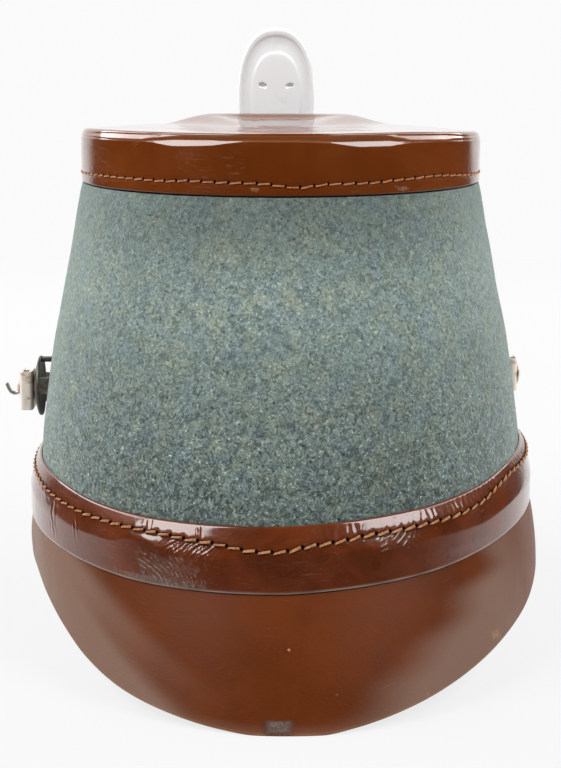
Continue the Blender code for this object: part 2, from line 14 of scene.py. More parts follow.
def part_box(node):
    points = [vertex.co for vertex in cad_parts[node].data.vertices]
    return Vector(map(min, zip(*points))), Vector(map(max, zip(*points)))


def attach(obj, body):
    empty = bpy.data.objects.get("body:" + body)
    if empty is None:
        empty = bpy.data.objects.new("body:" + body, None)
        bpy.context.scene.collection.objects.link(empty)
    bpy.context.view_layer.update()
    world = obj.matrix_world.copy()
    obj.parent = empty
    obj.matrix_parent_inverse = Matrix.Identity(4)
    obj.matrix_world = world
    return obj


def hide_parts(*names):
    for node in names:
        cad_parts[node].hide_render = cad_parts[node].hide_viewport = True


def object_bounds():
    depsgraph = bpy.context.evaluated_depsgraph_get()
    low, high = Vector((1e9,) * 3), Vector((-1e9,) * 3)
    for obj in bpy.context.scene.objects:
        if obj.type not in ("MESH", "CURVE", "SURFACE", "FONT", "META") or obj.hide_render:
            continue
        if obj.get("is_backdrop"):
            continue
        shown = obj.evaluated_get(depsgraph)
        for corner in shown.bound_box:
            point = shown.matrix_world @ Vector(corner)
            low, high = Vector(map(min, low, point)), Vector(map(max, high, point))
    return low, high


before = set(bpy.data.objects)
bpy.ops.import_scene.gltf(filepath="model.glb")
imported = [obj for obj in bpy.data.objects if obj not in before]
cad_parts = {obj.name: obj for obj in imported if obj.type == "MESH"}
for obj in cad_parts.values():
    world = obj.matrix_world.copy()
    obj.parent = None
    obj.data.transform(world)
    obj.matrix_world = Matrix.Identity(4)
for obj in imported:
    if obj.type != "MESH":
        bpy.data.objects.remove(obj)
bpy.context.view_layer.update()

# %% [markdown]
# ## Where things are
# All the tables below are in millimetres and in the hat's own axes: x is the wearer's left, y the back
# of the head and z up, with x = 0 in the hat's middle. Angles run from the back (0) over the wearer's
# left (90) to the front (180). The frame's origin lies elsewhere, so one shift brings the hat there. It
# is read off the CAD leather top, which is as wide on both sides of the hat's middle.

# %% Hat millimetres to frame metres
MM = 0.001
TOP_HALF_WIDTH, TOP_BACK, TOP_FRONT = TOP_OVAL = 71.9, 77.0, 83.0      # the leather top's oval in plan

top_low, top_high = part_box("top_cap")
HAT_SHIFT = np.array([(top_low[0] + top_high[0]) / 2,
                      (top_low[1] + top_high[1]) / 2 - (TOP_BACK - TOP_FRONT) / 2 * MM, 0.0])


def to_frame(points):
    """Hat millimetres as frame metres."""
    return np.asarray(points, float) * MM + HAT_SHIFT


print("shift in mm:", np.round(HAT_SHIFT / MM, 2))

# %% [markdown]
# ## Reading the tables
# Few rows and a smooth curve through them give a calm surface, as stretched felt has. The curve is a
# cubic that never overshoots its rows, so a wall that is straight in the table stays straight.

# %% A smooth column of a table
def smooth_column(rows, column, at):
    """Values of one column of a table at many keys (its first column), smoothly between the rows."""
    table = np.asarray(rows, float)
    keys, values = table[:, 0], table[:, column]
    slopes = np.diff(values) / np.diff(keys)
    before, after = slopes[:-1], slopes[1:]
    same_way = before * after > 0
    tangents = np.concatenate([slopes[:1], np.zeros(len(before)), slopes[-1:]])
    inner = np.zeros(len(before))
    inner[same_way] = 2 * before[same_way] * after[same_way] / (before + after)[same_way]
    tangents[1:-1] = inner
    at = np.clip(np.asarray(at, float), keys[0], keys[-1])
    i = np.clip(np.searchsorted(keys, at, side="right") - 1, 0, len(keys) - 2)
    width = keys[i + 1] - keys[i]
    t = (at - keys[i]) / width
    return ((2 * t ** 3 - 3 * t ** 2 + 1) * values[i] + (t ** 3 - 2 * t ** 2 + t) * tangents[i] * width
            + (3 * t ** 2 - 2 * t ** 3) * values[i + 1] + (t ** 3 - t ** 2) * tangents[i + 1] * width)


def ease(value, low, high):
    """0 below low, 1 above high, and a soft step between."""
    t = np.clip((np.asarray(value, float) - low) / (high - low), 0, 1)
    return t * t * (3 - 2 * t)


def power(value, exponent):
    """A power that keeps the sign."""
    return np.sign(value) * np.abs(value) ** exponent


def waves(angle, seed, slowest, fastest, count=7):
    """Gentle unevenness round the hat, between about -1 and 1: a few waves that close on themselves."""
    random = np.random.default_rng(seed)
    total = np.zeros(np.shape(angle))
    for _ in range(count):
        turns = random.integers(slowest, fastest + 1)
        total = total + np.sin(np.radians(angle) * turns + random.uniform(0, 2 * np.pi))
    return total / count ** 0.5 / 1.4


# %% [markdown]
# ## The felt's oval
# Every leather piece is sewn to the felt, so each of them is laid out as "this far off the felt, at this
# height and angle". The table gives the felt's oval at nine heights: it is wide at the head and narrows
# to the top, more behind than in front.

# %% The felt surface that the other pieces are measured from
CROWN = [  # height, half width, back, front
    (36.0, 88.3, 101.7, 102.2),
    (60.0, 88.4, 101.6, 102.2),
    (71.0, 87.8, 100.0, 101.4),
    (84.0, 86.2, 96.9, 100.1),
    (104.0, 83.3, 91.6, 97.2),
    (124.0, 79.2, 85.9, 93.4),
    (144.0, 75.2, 80.6, 89.2),
    (158.0, 72.6, 77.6, 85.3),
    (162.2, 71.6, 76.7, 83.6),
]


def oval_point(angle, half_width, back, front, offset=0.0):
    """Plan points of an oval moved outwards along its normal, and those normals."""
    a = np.radians(angle)
    reach = np.where(np.cos(a) >= 0, back, front)
    normal = np.stack([np.sin(a) / half_width, np.cos(a) / reach], -1)
    normal /= np.linalg.norm(normal, axis=-1, keepdims=True)
    place = np.stack([half_width * np.sin(a), reach * np.cos(a)], -1) + normal * np.asarray(offset)[..., None]
    return place, normal


def raised(plan, height):
    """Plan points (x, y) at a height."""
    return np.concatenate([plan, np.broadcast_to(np.asarray(height, float), plan.shape[:-1])[..., None]], -1)


def crown_point(angle, height, offset=0.0):
    """Points off the felt's outer face (x, y, z) and the level direction away from the felt there."""
    angle, height, offset = np.broadcast_arrays(angle, height, offset)
    plan, normal = oval_point(angle, *(smooth_column(CROWN, column, height) for column in (1, 2, 3)), offset)
    return raised(plan, height), raised(normal, 0.0)


print("felt at 60 mm, back and left:", np.round(crown_point(np.array([0, 90]), 60.0)[0], 1).tolist())

# %% [markdown]
# ## Turning rows of points into solids
# A wall of felt or leather is a loft: one closed cross-section for each step round the head. The mesh
# is made straight from the numbers, with a UV map in metres, so that streaks can follow the leather. A
# solid that would come out inside out has a negative volume, so its faces are turned round.

# %% Mesh makers
SHARP_ANGLE = 40.0


def signed_volume(vertices, quads):
    """Volume of a closed mesh of quads, negative where its faces look inwards."""
    a, b, c, d = (vertices[quads[:, n]] for n in range(4))
    return (np.einsum("ij,ij->i", a, np.cross(b, c)) + np.einsum("ij,ij->i", a, np.cross(c, d))).sum() / 6


def placed(name, mesh):
    """An object at the origin that shows a mesh."""
    thing = bpy.data.objects.new(name, mesh)
    bpy.context.scene.collection.objects.link(thing)
    return thing


def mesh_object(name, vertices, faces):
    """A mesh object in frame metres, smooth but for its sharp edges."""
    mesh = bpy.data.meshes.new(name)
    mesh.from_pydata([tuple(v) for v in vertices], [], faces)
    mesh.shade_smooth()
    mesh.set_sharp_from_angle(angle=np.radians(SHARP_ANGLE))
    return placed(name, mesh)


def step_lengths(points, axis=0):
    """Lengths of the steps from point to point along an axis, and of the one that closes it."""
    return np.linalg.norm(np.diff(points, axis=axis, append=np.take(points, [0], axis)), axis=-1)


def metres_along(steps):
    """Distance in metres before and after each of some steps in millimetres."""
    return np.concatenate([[0], np.cumsum(steps)]) * MM


def net(count, points, closed):
    """Quads between rings of points, and each corner's ring and its point on that ring."""
    i, k = np.meshgrid(np.arange(count if closed else count - 1), np.arange(points), indexing="ij")
    ring = np.stack([i, i, i + 1, i + 1], -1).reshape(-1, 4)
    point = np.stack([k, k + 1, k + 1, k], -1).reshape(-1, 4)
    return ring % count * points + point % points, ring, point


def solid(name, points, quads, lids, u, v):
    """A solid of quads and lids with its faces outwards, and a UV map on the quads."""
    vertices = to_frame(points)
    if signed_volume(vertices, quads) < 0:
        quads, u, v, lids = quads[:, ::-1], u[:, ::-1], v[:, ::-1], [lid[::-1] for lid in lids]
    thing = mesh_object(name, vertices, quads.tolist() + lids)
    uv = np.concatenate([np.stack([u.ravel(), v.ravel()], -1), np.zeros((sum(map(len, lids)), 2))])
    thing.data.uv_layers.new(name="wrap").data.foreach_set("uv", uv.ravel())
    print(f"{name}: {len(thing.data.polygons)} faces")
    return thing


def shell(name, sections, closed=True):
    """A solid through closed cross-sections (sections, points, xyz) in hat millimetres."""
    sections = np.asarray(sections, float)
    count, points = sections.shape[:2]
    quads, section, point = net(count, points, closed)
    lids = [] if closed else [list(range(points))[::-1], list(range((count - 1) * points, count * points))]
    along, across = metres_along(step_lengths(sections).mean(1)), metres_along(step_lengths(sections, 1).mean(0))
    return solid(name, sections.reshape(-1, 3), quads, lids, along[section], across[point])


def lidded(name, rings, first, last):
    """A solid through rings (rings, points, xyz) in hat millimetres, closed by a point at each end."""
    rings = np.asarray(rings, float)
    count, points = rings.shape[:2]
    quads, ring, point = net(count, points, False)
    ends = (0, count * points, 1), ((count - 1) * points, count * points + 1, -1)
    lids = [[start + (n + 1) % points, start + n, tip][::turn] for start, tip, turn in ends for n in range(points)]
    around, up = metres_along(step_lengths(rings, 1).max(0)), metres_along(step_lengths(rings).mean(1))
    return solid(name, np.concatenate([rings.reshape(-1, 3), [first, last]]), quads, lids, around[point], up[ring])


def paint(thing, name, values):
    """A value for each vertex of a mesh, which its material can read."""
    thing.data.attributes.new(name, "FLOAT", "POINT").data.foreach_set(
        "value", np.asarray(values, np.float32).ravel())


# %% [markdown]
# ## Small helpers for shader nodes
# A material here is a Principled shader fed by a few node groups. Writing node trees by hand is wordy,
# so one helper adds a node with its settings and inputs, and a few more wrap the nodes used most.

# %% Node helpers
def add_node(tree, kind, inputs=None, **settings):
    """A node with its settings; an input takes a number, a colour or another node's output."""
    made = tree.nodes.new(kind)
    for key, value in settings.items():
        setattr(made, key, value)
    for key, value in (inputs or {}).items():
        if isinstance(value, bpy.types.NodeSocket):
            tree.links.new(value, made.inputs[key])
        else:
            made.inputs[key].default_value = value
    return made


def calculate(tree, operation, a, b=0.0, c=0.0):
    """One Math node's result."""
    return add_node(tree, "ShaderNodeMath", {0: a, 1: b, 2: c}, operation=operation).outputs[0]


def product(tree, a, b):
    """One number times another."""
    return calculate(tree, "MULTIPLY", a, b)


def vector_math(tree, operation, a, b=(0.0, 0.0, 0.0)):
    """One Vector Math node's result."""
    made = add_node(tree, "ShaderNodeVectorMath", {0: a, 1: b}, operation=operation)
    return made.outputs["Value" if operation == "LENGTH" else 0]


def between(tree, value, low, high, to_low=0.0, to_high=1.0):
    """A soft step of a value from low to high."""
    return add_node(tree, "ShaderNodeMapRange", {0: value, 1: low, 2: high, 3: to_low, 4: to_high},
                    interpolation_type="SMOOTHSTEP").outputs[0]


def mixed(tree, share, a, b):
    """One colour over another."""
    return add_node(tree, "ShaderNodeMix", {0: share, 6: a, 7: b}, data_type="RGBA").outputs[2]


def stretched(tree, vector, scale, turn=(0.0, 0.0, 0.0)):
    """Coordinates turned, then scaled, for a pattern that is finer one way than another."""
    return add_node(tree, "ShaderNodeMapping", {"Vector": vector, "Rotation": turn, "Scale": scale}).outputs[0]


def noise(tree, vector, scale, detail=2.0, roughness=0.5, distortion=0.0):
    """A noise texture's value."""
    return add_node(tree, "ShaderNodeTexNoise", {"Vector": vector, "Scale": scale, "Detail": detail,
                                                 "Roughness": roughness, "Distortion": distortion}).outputs[0]


def own_place(tree):
    """Coordinates of the object itself, in metres."""
    return add_node(tree, "ShaderNodeTexCoord").outputs["Object"]


def painted(tree, name):
    """The value that paint() gave the mesh under this name."""
    return add_node(tree, "ShaderNodeAttribute", attribute_name=name).outputs["Fac"]


def give(tree, sockets, values):
    """Links each value to the socket of its name."""
    for name, value in values.items():
        tree.links.new(value, sockets[name])


NUMBER, COLOUR, VECTOR = "NodeSocketFloat", "NodeSocketColor", "NodeSocketVector"


def new_group(name, inputs, outputs):
    """An empty shader node group; a socket is given by its kind or by its default value."""
    group = bpy.data.node_groups.new(name, "ShaderNodeTree")
    for in_out, sockets in (("INPUT", inputs), ("OUTPUT", outputs)):
        for socket_name, value in sockets.items():
            kind = value if isinstance(value, str) else VECTOR if isinstance(value, tuple) else NUMBER
            socket = group.interface.new_socket(socket_name, in_out=in_out, socket_type=kind)
            if kind != value:
                socket.default_value = value
    return group, group.nodes.new("NodeGroupInput").outputs, group.nodes.new("NodeGroupOutput").inputs


def place_group(tree, group, inputs):
    """A group placed in a material with its own values."""
    return add_node(tree, "ShaderNodeGroup", inputs, node_tree=group).outputs

# %% [markdown]
# ## Leather grain, shared by every leather piece
# Smooth vegetable-tanned leather has three scales: cloudy colour a few centimetres wide, faint pores
# under a millimetre, and hairline scratches that follow the strap or brim. One group gives all three, and
# each leather takes as much of them as it shows.

# %% The leather group
leather_group, given, result = new_group(
    "leather_grain", {"Place": VECTOR, "Wrap": VECTOR, "Cloud Size": 0.02, "Pore Size": 0.0009},
    dict.fromkeys(("Cloud", "Scratch", "Speck", "Height"), NUMBER))
tree = leather_group
cloud = noise(tree, given["Place"], calculate(tree, "DIVIDE", 1.0, given["Cloud Size"]), 5.0, 0.62, 0.3)
pore_scale = calculate(tree, "DIVIDE", 1.0, given["Pore Size"])
pores = add_node(tree, "ShaderNodeTexVoronoi", {"Vector": given["Place"], "Scale": pore_scale}).outputs[0]
swell = noise(tree, given["Place"], 220.0, 3.0, 0.55)
hairlines = 0.0
for turn, squeeze, seed in ((0.05, 26.0, 0.3), (-0.6, 20.0, 7.1), (1.2, 22.0, 3.7)):
    lines = stretched(tree, given["Wrap"], (60.0, 60.0 * squeeze, 1.0), (0.0, 0.0, turn))
    streak = noise(tree, lines, 1.0, 1.0, 0.5, 0.25)
    off_middle = calculate(tree, "ABSOLUTE", calculate(tree, "SUBTRACT", streak, 0.5))
    turned = stretched(tree, given["Place"], (1.0, 1.0, 1.0), (seed, 0.0, 0.0))
    patchy = between(tree, noise(tree, turned, 38.0, 2.0), 0.53, 0.66)
    thin = between(tree, off_middle, 0.0075, 0.0)
    hairlines = calculate(tree, "ADD", hairlines, product(tree, thin, patchy))
cells = add_node(tree, "ShaderNodeTexVoronoi", {"Vector": given["Place"], "Scale": 190.0}).outputs
chosen = add_node(tree, "ShaderNodeSeparateColor", {0: cells[1]}).outputs[0]
specks = product(tree, between(tree, cells[0], 0.085, 0.03), between(tree, chosen, 0.80, 0.9))
grain_height = calculate(tree, "ADD", product(tree, pores, 0.35), swell)
grain_height = calculate(tree, "SUBTRACT", grain_height, product(tree, hairlines, 0.4))
give(tree, result, {"Cloud": between(tree, cloud, 0.3, 0.7), "Scratch": calculate(tree, "MINIMUM", hairlines, 1.0),
                    "Speck": specks, "Height": grain_height})
print("leather_grain:", len(tree.nodes), "nodes")

# %% [markdown]
# ## Scuffed places
# Wear is local: a rubbed patch where the hat was set down, a wrinkled patch where it was knocked. The
# group below works round one point of the piece, as far as its reach in each direction. It gives a ragged
# haze of fine crumbs, and broken rings like the wrinkles that a knock leaves in lacquer.

# %% The scuff group
scuff_group, given, result = new_group(
    "scuff_blot",
    {"Place": VECTOR, "Centre": VECTOR, "Reach": (0.01, 0.01, 0.01), "Raggedness": 0.5, "Crumb Size": 0.002,
     "Ring Spacing": 0.0012, "Ring Offset": (0.0, 0.0, 0.0)},
    dict.fromkeys(("Haze", "Rings", "Height"), NUMBER))
tree = scuff_group
away = vector_math(tree, "SUBTRACT", given["Place"], given["Centre"])
reached = vector_math(tree, "DIVIDE", away, given["Reach"])
for _ in range(2):      # squared twice, and the fourth root below, which makes the outline nearly a box
    reached = vector_math(tree, "MULTIPLY", reached, reached)
distance = calculate(tree, "POWER", vector_math(tree, "LENGTH", reached), 0.25)
crumb = noise(tree, given["Place"], calculate(tree, "DIVIDE", 1.0, given["Crumb Size"]), 4.0, 0.65)
ragged = product(tree, calculate(tree, "SUBTRACT", crumb, 0.5), product(tree, given["Raggedness"], 4.0))
window = between(tree, calculate(tree, "ADD", distance, ragged), 1.0, 0.45)
crumbly = between(tree, noise(tree, given["Place"], 1500.0, 3.0, 0.6), 0.40, 0.62, 0.35, 1.0)
wave = add_node(tree, "ShaderNodeTexWave",
                {"Vector": vector_math(tree, "SUBTRACT", away, given["Ring Offset"]),
                 "Scale": calculate(tree, "DIVIDE", 0.314, given["Ring Spacing"]),
                 "Distortion": 5.0, "Detail": 2.0, "Detail Scale": 0.5},
                wave_type="RINGS", rings_direction="SPHERICAL").outputs["Fac"]
whole = product(tree, window, between(tree, noise(tree, given["Place"], 260.0, 2.0), 0.46, 0.58))
give(tree, result, {"Haze": product(tree, window, crumbly), "Height": product(tree, whole, wave),
                    "Rings": product(tree, whole, between(tree, wave, 0.72, 0.97))})
print("scuff_blot:", len(tree.nodes), "nodes")

# %% [markdown]
# ## The felt
# The cloth is milled wool of three fibre colours, blue-green, grey-green and a little beige, so it looks
# grey-green from afar and flecked from near. The flecks come from noises of different sizes that choose
# between the fibre colours; a faint bump and a sheen give the nap, which brightens towards the edges. A
# painted shade, read from the mesh, darkens the felt towards the leather top and the band and lightens it
# away from the back.

# %% The felt group and its material
BLUE_FIBRE, GREEN_FIBRE, BEIGE_FIBRE = (0.150, 0.198, 0.196, 1), (0.170, 0.210, 0.178, 1), (0.212, 0.221, 0.176, 1)

felt_group, given, result = new_group(
    "wool_heather", {"Place": VECTOR, "Fleck Size": 0.0008, "Painted Shade": 1.0, "Contrast": 1.0},
    {"Colour": COLOUR, "Height": NUMBER})
tree = felt_group
fleck_scale = calculate(tree, "DIVIDE", 1.0, given["Fleck Size"])
fine = noise(tree, given["Place"], fleck_scale, 3.0, 0.7, 0.6)
other = stretched(tree, given["Place"], (1.0, 1.0, 1.0), (0.5, 1.1, 0.3))
middling = noise(tree, other, product(tree, fleck_scale, 0.38), 2.0, 0.6, 1.2)
broad = noise(tree, other, 130.0, 3.0, 0.6, 0.4)
hue = calculate(tree, "MULTIPLY_ADD", middling, 0.35, product(tree, broad, 0.65))
body = mixed(tree, between(tree, hue, 0.36, 0.64), BLUE_FIBRE, GREEN_FIBRE)
body = mixed(tree, between(tree, hue, 0.54, 0.70, 0.0, 0.6), body, BEIGE_FIBRE)
shade = between(tree, noise(tree, given["Place"], 22.0, 2.0), 0.3, 0.7, 0.94, 1.06)
for pattern, low, high, reach in ((middling, 0.44, 0.62, 1.32), (middling, 0.47, 0.34, 0.72), (fine, 0.55, 0.70, 2.0),
                                  (fine, 0.46, 0.33, 0.36)):
    shade = product(tree, shade, between(tree, pattern, low, high, 1.0, reach))
# the painted shade darkens the felt towards the leathers and lightens it away from the back
shade = product(tree, calculate(tree, "POWER", shade, given["Contrast"]), given["Painted Shade"])
tone = add_node(tree, "ShaderNodeHueSaturation", {"Color": body, "Value": shade}).outputs[0]
give(tree, result, {"Colour": tone, "Height": calculate(tree, "ADD", fine, product(tree, middling, 0.8))})


def blank_material(name, **plain):
    """A material with a Principled shader; plain values go straight on its sockets."""
    material = bpy.data.materials.new(name)
    material.use_nodes = True
    shader = material.node_tree.nodes["Principled BSDF"]
    for key, value in plain.items():
        shader.inputs[key.replace("_", " ")].default_value = value
    return material, material.node_tree, shader


def bumped(tree, shader, height, depth, strength=1.0):
    """A bump of a height that is 1 at depth metres."""
    bump = add_node(tree, "ShaderNodeBump", {"Height": height, "Distance": depth, "Strength": strength})
    tree.links.new(bump.outputs[0], shader.inputs["Normal"])


felt, tree, shader = blank_material("heathered_felt", Roughness=0.95, Specular_IOR_Level=0.15,
                                    Sheen_Weight=0.36, Sheen_Roughness=0.45,
                                    Sheen_Tint=(0.86, 0.93, 0.89, 1))
heather = place_group(tree, felt_group, {"Place": own_place(tree), "Fleck Size": 0.0008,
                                         "Painted Shade": painted(tree, "painted_shade"), "Contrast": painted(tree, "contrast")})
give(tree, shader.inputs, {"Base Color": heather["Colour"]})
bumped(tree, shader, heather["Height"], 0.0005, 0.7)
print("felt nodes:", len(tree.nodes))

# %% [markdown]
# ## Four leathers from one recipe
# The top and the band are lacquered, so they mirror the studio; the peaks are only waxed, so their
# highlights are wide and soft. One function builds a leather from its colours, its gloss and how much
# grain and wear shows. The clear coat carries the sharp highlight, and scratches dull it. Painted
# highlights along some edges, and a greyish painted reflection on the peaks' sides, are mixed into the colour.

# %% Leather materials
PAINTED_REFLECTION_TINT = (0.19, 0.12, 0.09, 1)


def leather(name, base, deep, wear_and_painted_highlight, roughness, coat, coat_roughness, grain_depth, scratches, cloud_size,
            scuffs=(), specular=0.15, painted_reflection=0.0):
    """A leather; scuffs are rows of centre and reach (hat mm), raggedness, colour, haze, rings, spacing, offset."""
    material, tree, shader = blank_material(
        name, Coat_Roughness=coat_roughness, Coat_IOR=1.5, Specular_IOR_Level=specular,
        Sheen_Weight=painted_reflection * 0.15, Sheen_Roughness=0.3, Sheen_Tint=(0.95, 0.98, 1.0, 1))
    place = own_place(tree)
    wrap = add_node(tree, "ShaderNodeUVMap", uv_map="wrap").outputs[0]
    grain = place_group(tree, leather_group, {"Place": place, "Wrap": wrap, "Cloud Size": cloud_size,
                                              "Pore Size": 0.0009})
    colour = mixed(tree, grain["Cloud"], (*deep, 1), (*base, 1))
    fleck = product(tree, grain["Scratch"], scratches)
    marks = calculate(tree, "ADD", fleck, product(tree, grain["Speck"], scratches * 0.8))
    colour = mixed(tree, marks, colour, (*wear_and_painted_highlight, 1))
    # painted reflection: a greyish veil mixed into the colour where the mesh says, on the peaks' sides; the same amount
    # sets the sheen weight
    if painted_reflection:
        colour = mixed(tree, product(tree, painted(tree, "painted_reflection"), painted_reflection), colour, PAINTED_REFLECTION_TINT)
    # painted highlight along edges (the top's collar and ledge line, the band's lower edge, the peak's edge), with real
    # wear on the peak and strap edges
    edge = painted(tree, "wear_and_painted_highlight")
    colour = mixed(tree, edge, colour, (*wear_and_painted_highlight, 1))
    dulled = product(tree, edge, 0.5)
    height = grain["Height"]
    for centre, reach, raggedness, tint, haze, rings, spacing, offset in scuffs:
        scuff = place_group(tree, scuff_group, {
            "Place": place, "Centre": to_frame(centre), "Reach": np.array(reach) * MM,
            "Raggedness": raggedness, "Ring Spacing": spacing * MM, "Ring Offset": np.array(offset) * MM})
        blot = product(tree, scuff["Haze"], haze)
        colour = mixed(tree, blot, colour, (*tint, 1))
        dulled = calculate(tree, "MAXIMUM", dulled, blot)
        if rings:
            colour = mixed(tree, product(tree, scuff["Rings"], rings * 0.35), colour, (*wear_and_painted_highlight, 1))
            height = calculate(tree, "MULTIPLY_ADD", scuff["Height"], rings, height)
    rough = between(tree, grain["Cloud"], 0.0, 1.0, roughness * 0.85, roughness * 1.15)
    give(tree, shader.inputs, {
        "Base Color": colour,
        "Roughness": calculate(tree, "ADD", rough, product(tree, dulled, 0.35)),
        "Coat Weight": between(tree, calculate(tree, "ADD", fleck, dulled), 0.0, 1.0, coat, coat * 0.15)})
    bumped(tree, shader, height, grain_depth)
    return material


NO_RINGS = (0, 1.2, (0, 0, 0))
TOP_SCUFFS = [
    ((32.2, 68.8, 174.6), (3.5, 3.0, 2.5), 0.9, (0.17, 0.07, 0.035), 0.22, *NO_RINGS),
    ((9.7, 76.2, 163.8), (2.0, 2.0, 0.8), 0.6, (0.34, 0.16, 0.09), 0.6, *NO_RINGS),
    ((-38.2, 65.1, 163.6), (2.4, 2.4, 0.8), 0.7, (0.36, 0.22, 0.15), 0.5, *NO_RINGS),
]
BAND_SCUFFS = [
    ((37.5, 97.0, 43.5), (13.0, 9.0, 6.5), 0.6, (0.15, 0.105, 0.088), 0.42, 1.3, 1.5, (14, -2, -9)),
    # partly wear, partly a wider painted highlight along the band's lower edge
    ((43.0, 94.0, 40.3), (18.0, 12.0, 1.6), 0.5, (0.17, 0.16, 0.145), 0.5, *NO_RINGS),
    ((-35.5, 96.7, 54.3), (7.5, 6.0, 3.6), 0.3, (0.15, 0.11, 0.09), 0.12, 3.0, 1.6, (9, 0, 9)),
    ((-60.0, 78.0, 46.5), (14.0, 12.0, 2.0), 0.9, (0.16, 0.13, 0.12), 0.2, *NO_RINGS),
]
PEAK_SCUFFS = [
    ((3.4, 124.6, 2.2), (6.0, 4.5, 3.1), 0.05, (0.022, 0.015, 0.013), 0.85, *NO_RINGS),
    ((3.1, 124.6, 2.7), (4.9, 4.5, 2.1), 0.10, (0.125, 0.098, 0.085), 0.95, *NO_RINGS),
    ((-44.1, 109.9, 7.4), (0.7, 0.9, 0.5), 0.4, (0.42, 0.22, 0.11), 0.8, *NO_RINGS),
    ((-69.6, 83.4, 17.4), (2.4, 2.4, 1.7), 1.0, (0.34, 0.19, 0.095), 0.6, *NO_RINGS),
    ((-0.2, 114.2, 23.4), (0.5, 0.8, 0.9), 0.3, (0.50, 0.28, 0.14), 0.8, *NO_RINGS),
    ((-14.8, 119.6, 10.8), (0.6, 0.8, 0.6), 0.3, (0.50, 0.28, 0.14), 0.8, *NO_RINGS),
    ((-4.7, 113.3, 24.9), (0.4, 0.6, 0.4), 0.3, (0.50, 0.28, 0.14), 0.7, *NO_RINGS),
]
top_leather = leather("lacquered_top_leather", (0.126, 0.0268, 0.0018), (0.098, 0.0192, 0.0013), (0.34, 0.16, 0.08),
                      0.34, 1.0, 0.07, 0.00006, 0.25, 0.035, scuffs=TOP_SCUFFS)
band_leather = leather("lacquered_band_leather", (0.109, 0.0206, 0.0034), (0.067, 0.0131, 0.0024), (0.36, 0.285, 0.24),
                       0.32, 1.0, 0.09, 0.00010, 0.16, 0.014, scuffs=BAND_SCUFFS)
peak_leather = leather("waxed_peak_leather", (0.102, 0.0200, 0.0010), (0.076, 0.0150, 0.0008), (0.34, 0.17, 0.085),
                       0.52, 0.03, 0.35, 0.00010, 0.10, 0.03, scuffs=PEAK_SCUFFS, specular=0.11, painted_reflection=0.8)
strap_leather = leather("strap_leather", (0.085, 0.028, 0.012), (0.058, 0.019, 0.009), (0.28, 0.17, 0.10),
                        0.45, 0.15, 0.25, 0.0002, 0.5, 0.012)
print("leathers:", [m.name for m in bpy.data.materials if "leather" in m.name])

# %% [markdown]
# ## Metal and thread
# The fittings are pale brass that has dulled, a dark painted disc and a pale painted badge. The thread
# is waxed linen. None of them is large in the picture, so each gets one noise for its patina.

# %% Metal and thread materials
def patina(name, base, stain, roughness, metallic, spot_size=0.004, stained=(0.5, 0.68)):
    """A finish with stains of a second colour."""
    material, tree, shader = blank_material(name, Metallic=metallic)
    place = own_place(tree)
    spots = between(tree, noise(tree, place, 1 / spot_size, 4.0, 0.6, 0.4), *stained)
    give(tree, shader.inputs, {
        "Base Color": mixed(tree, spots, (*base, 1), (*stain, 1)),
        "Roughness": between(tree, spots, 0.0, 1.0, roughness, min(1.0, roughness + 0.25))})
    bumped(tree, shader, noise(tree, place, 3.0 / spot_size, 2.0), 0.00006)
    return material


badge_paint = patina("pale_badge_paint", (0.735, 0.755, 0.76), (0.66, 0.68, 0.685), 0.45, 0.0, 0.012)
dark_metal = patina("dark_painted_metal", (0.085, 0.078, 0.062), (0.15, 0.135, 0.105), 0.42, 0.6)
pale_brass = patina("dulled_pale_brass", (0.86, 0.78, 0.69), (0.42, 0.31, 0.20), 0.38, 0.18, 0.005, (0.54, 0.70))
hook_metal = patina("grey_hook_wire", (0.36, 0.35, 0.33), (0.25, 0.24, 0.22), 0.35, 0.8)
thread = patina("waxed_linen_thread", (0.42, 0.175, 0.075), (0.26, 0.10, 0.04), 0.7, 0.0, 0.0007, (0.45, 0.65))
band_thread = patina("darker_linen_thread", (0.42, 0.20, 0.085), (0.20, 0.08, 0.03), 0.7, 0.0, 0.0007, (0.45, 0.65))
# painted shadows: the dark mouth of a needle hole and the dark groove above the band's stitches
hole_shadow, groove_shade, slot_painted_light = (
    blank_material(name, Roughness=roughness, Specular_IOR_Level=specular, Base_Color=(*colour, 1))[0]
    for name, roughness, specular, colour in (("needle_hole_shadow", 1.0, 0.0, (0.006, 0.003, 0.002)),
                                              ("thread_groove_shadow", 0.8, 0.1, (0.030, 0.0085, 0.003)),
                                              ("badge_slot_painted_light", 0.8, 0.2, (0.88, 0.88, 0.87))))
print("finishes:", len(bpy.data.materials))


def dress(thing, material, slot, *nodes):
    """Gives a finished piece its material, hangs it on the root, and hides the CAD parts that it replaces."""
    if not thing.data.materials:
        thing.data.materials.append(material)
    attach(thing, "root")
    if nodes:
        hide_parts(*nodes)


# %% [markdown]
# ## The felt crown
# The crown is a felt tube. Its cross-section runs up the outside, steps in under the leather top, and
# comes down the inside. Felt is never quite even, so slow waves a few tenths of a millimetre deep move
# the outer face, and fade out where the leather holds it.

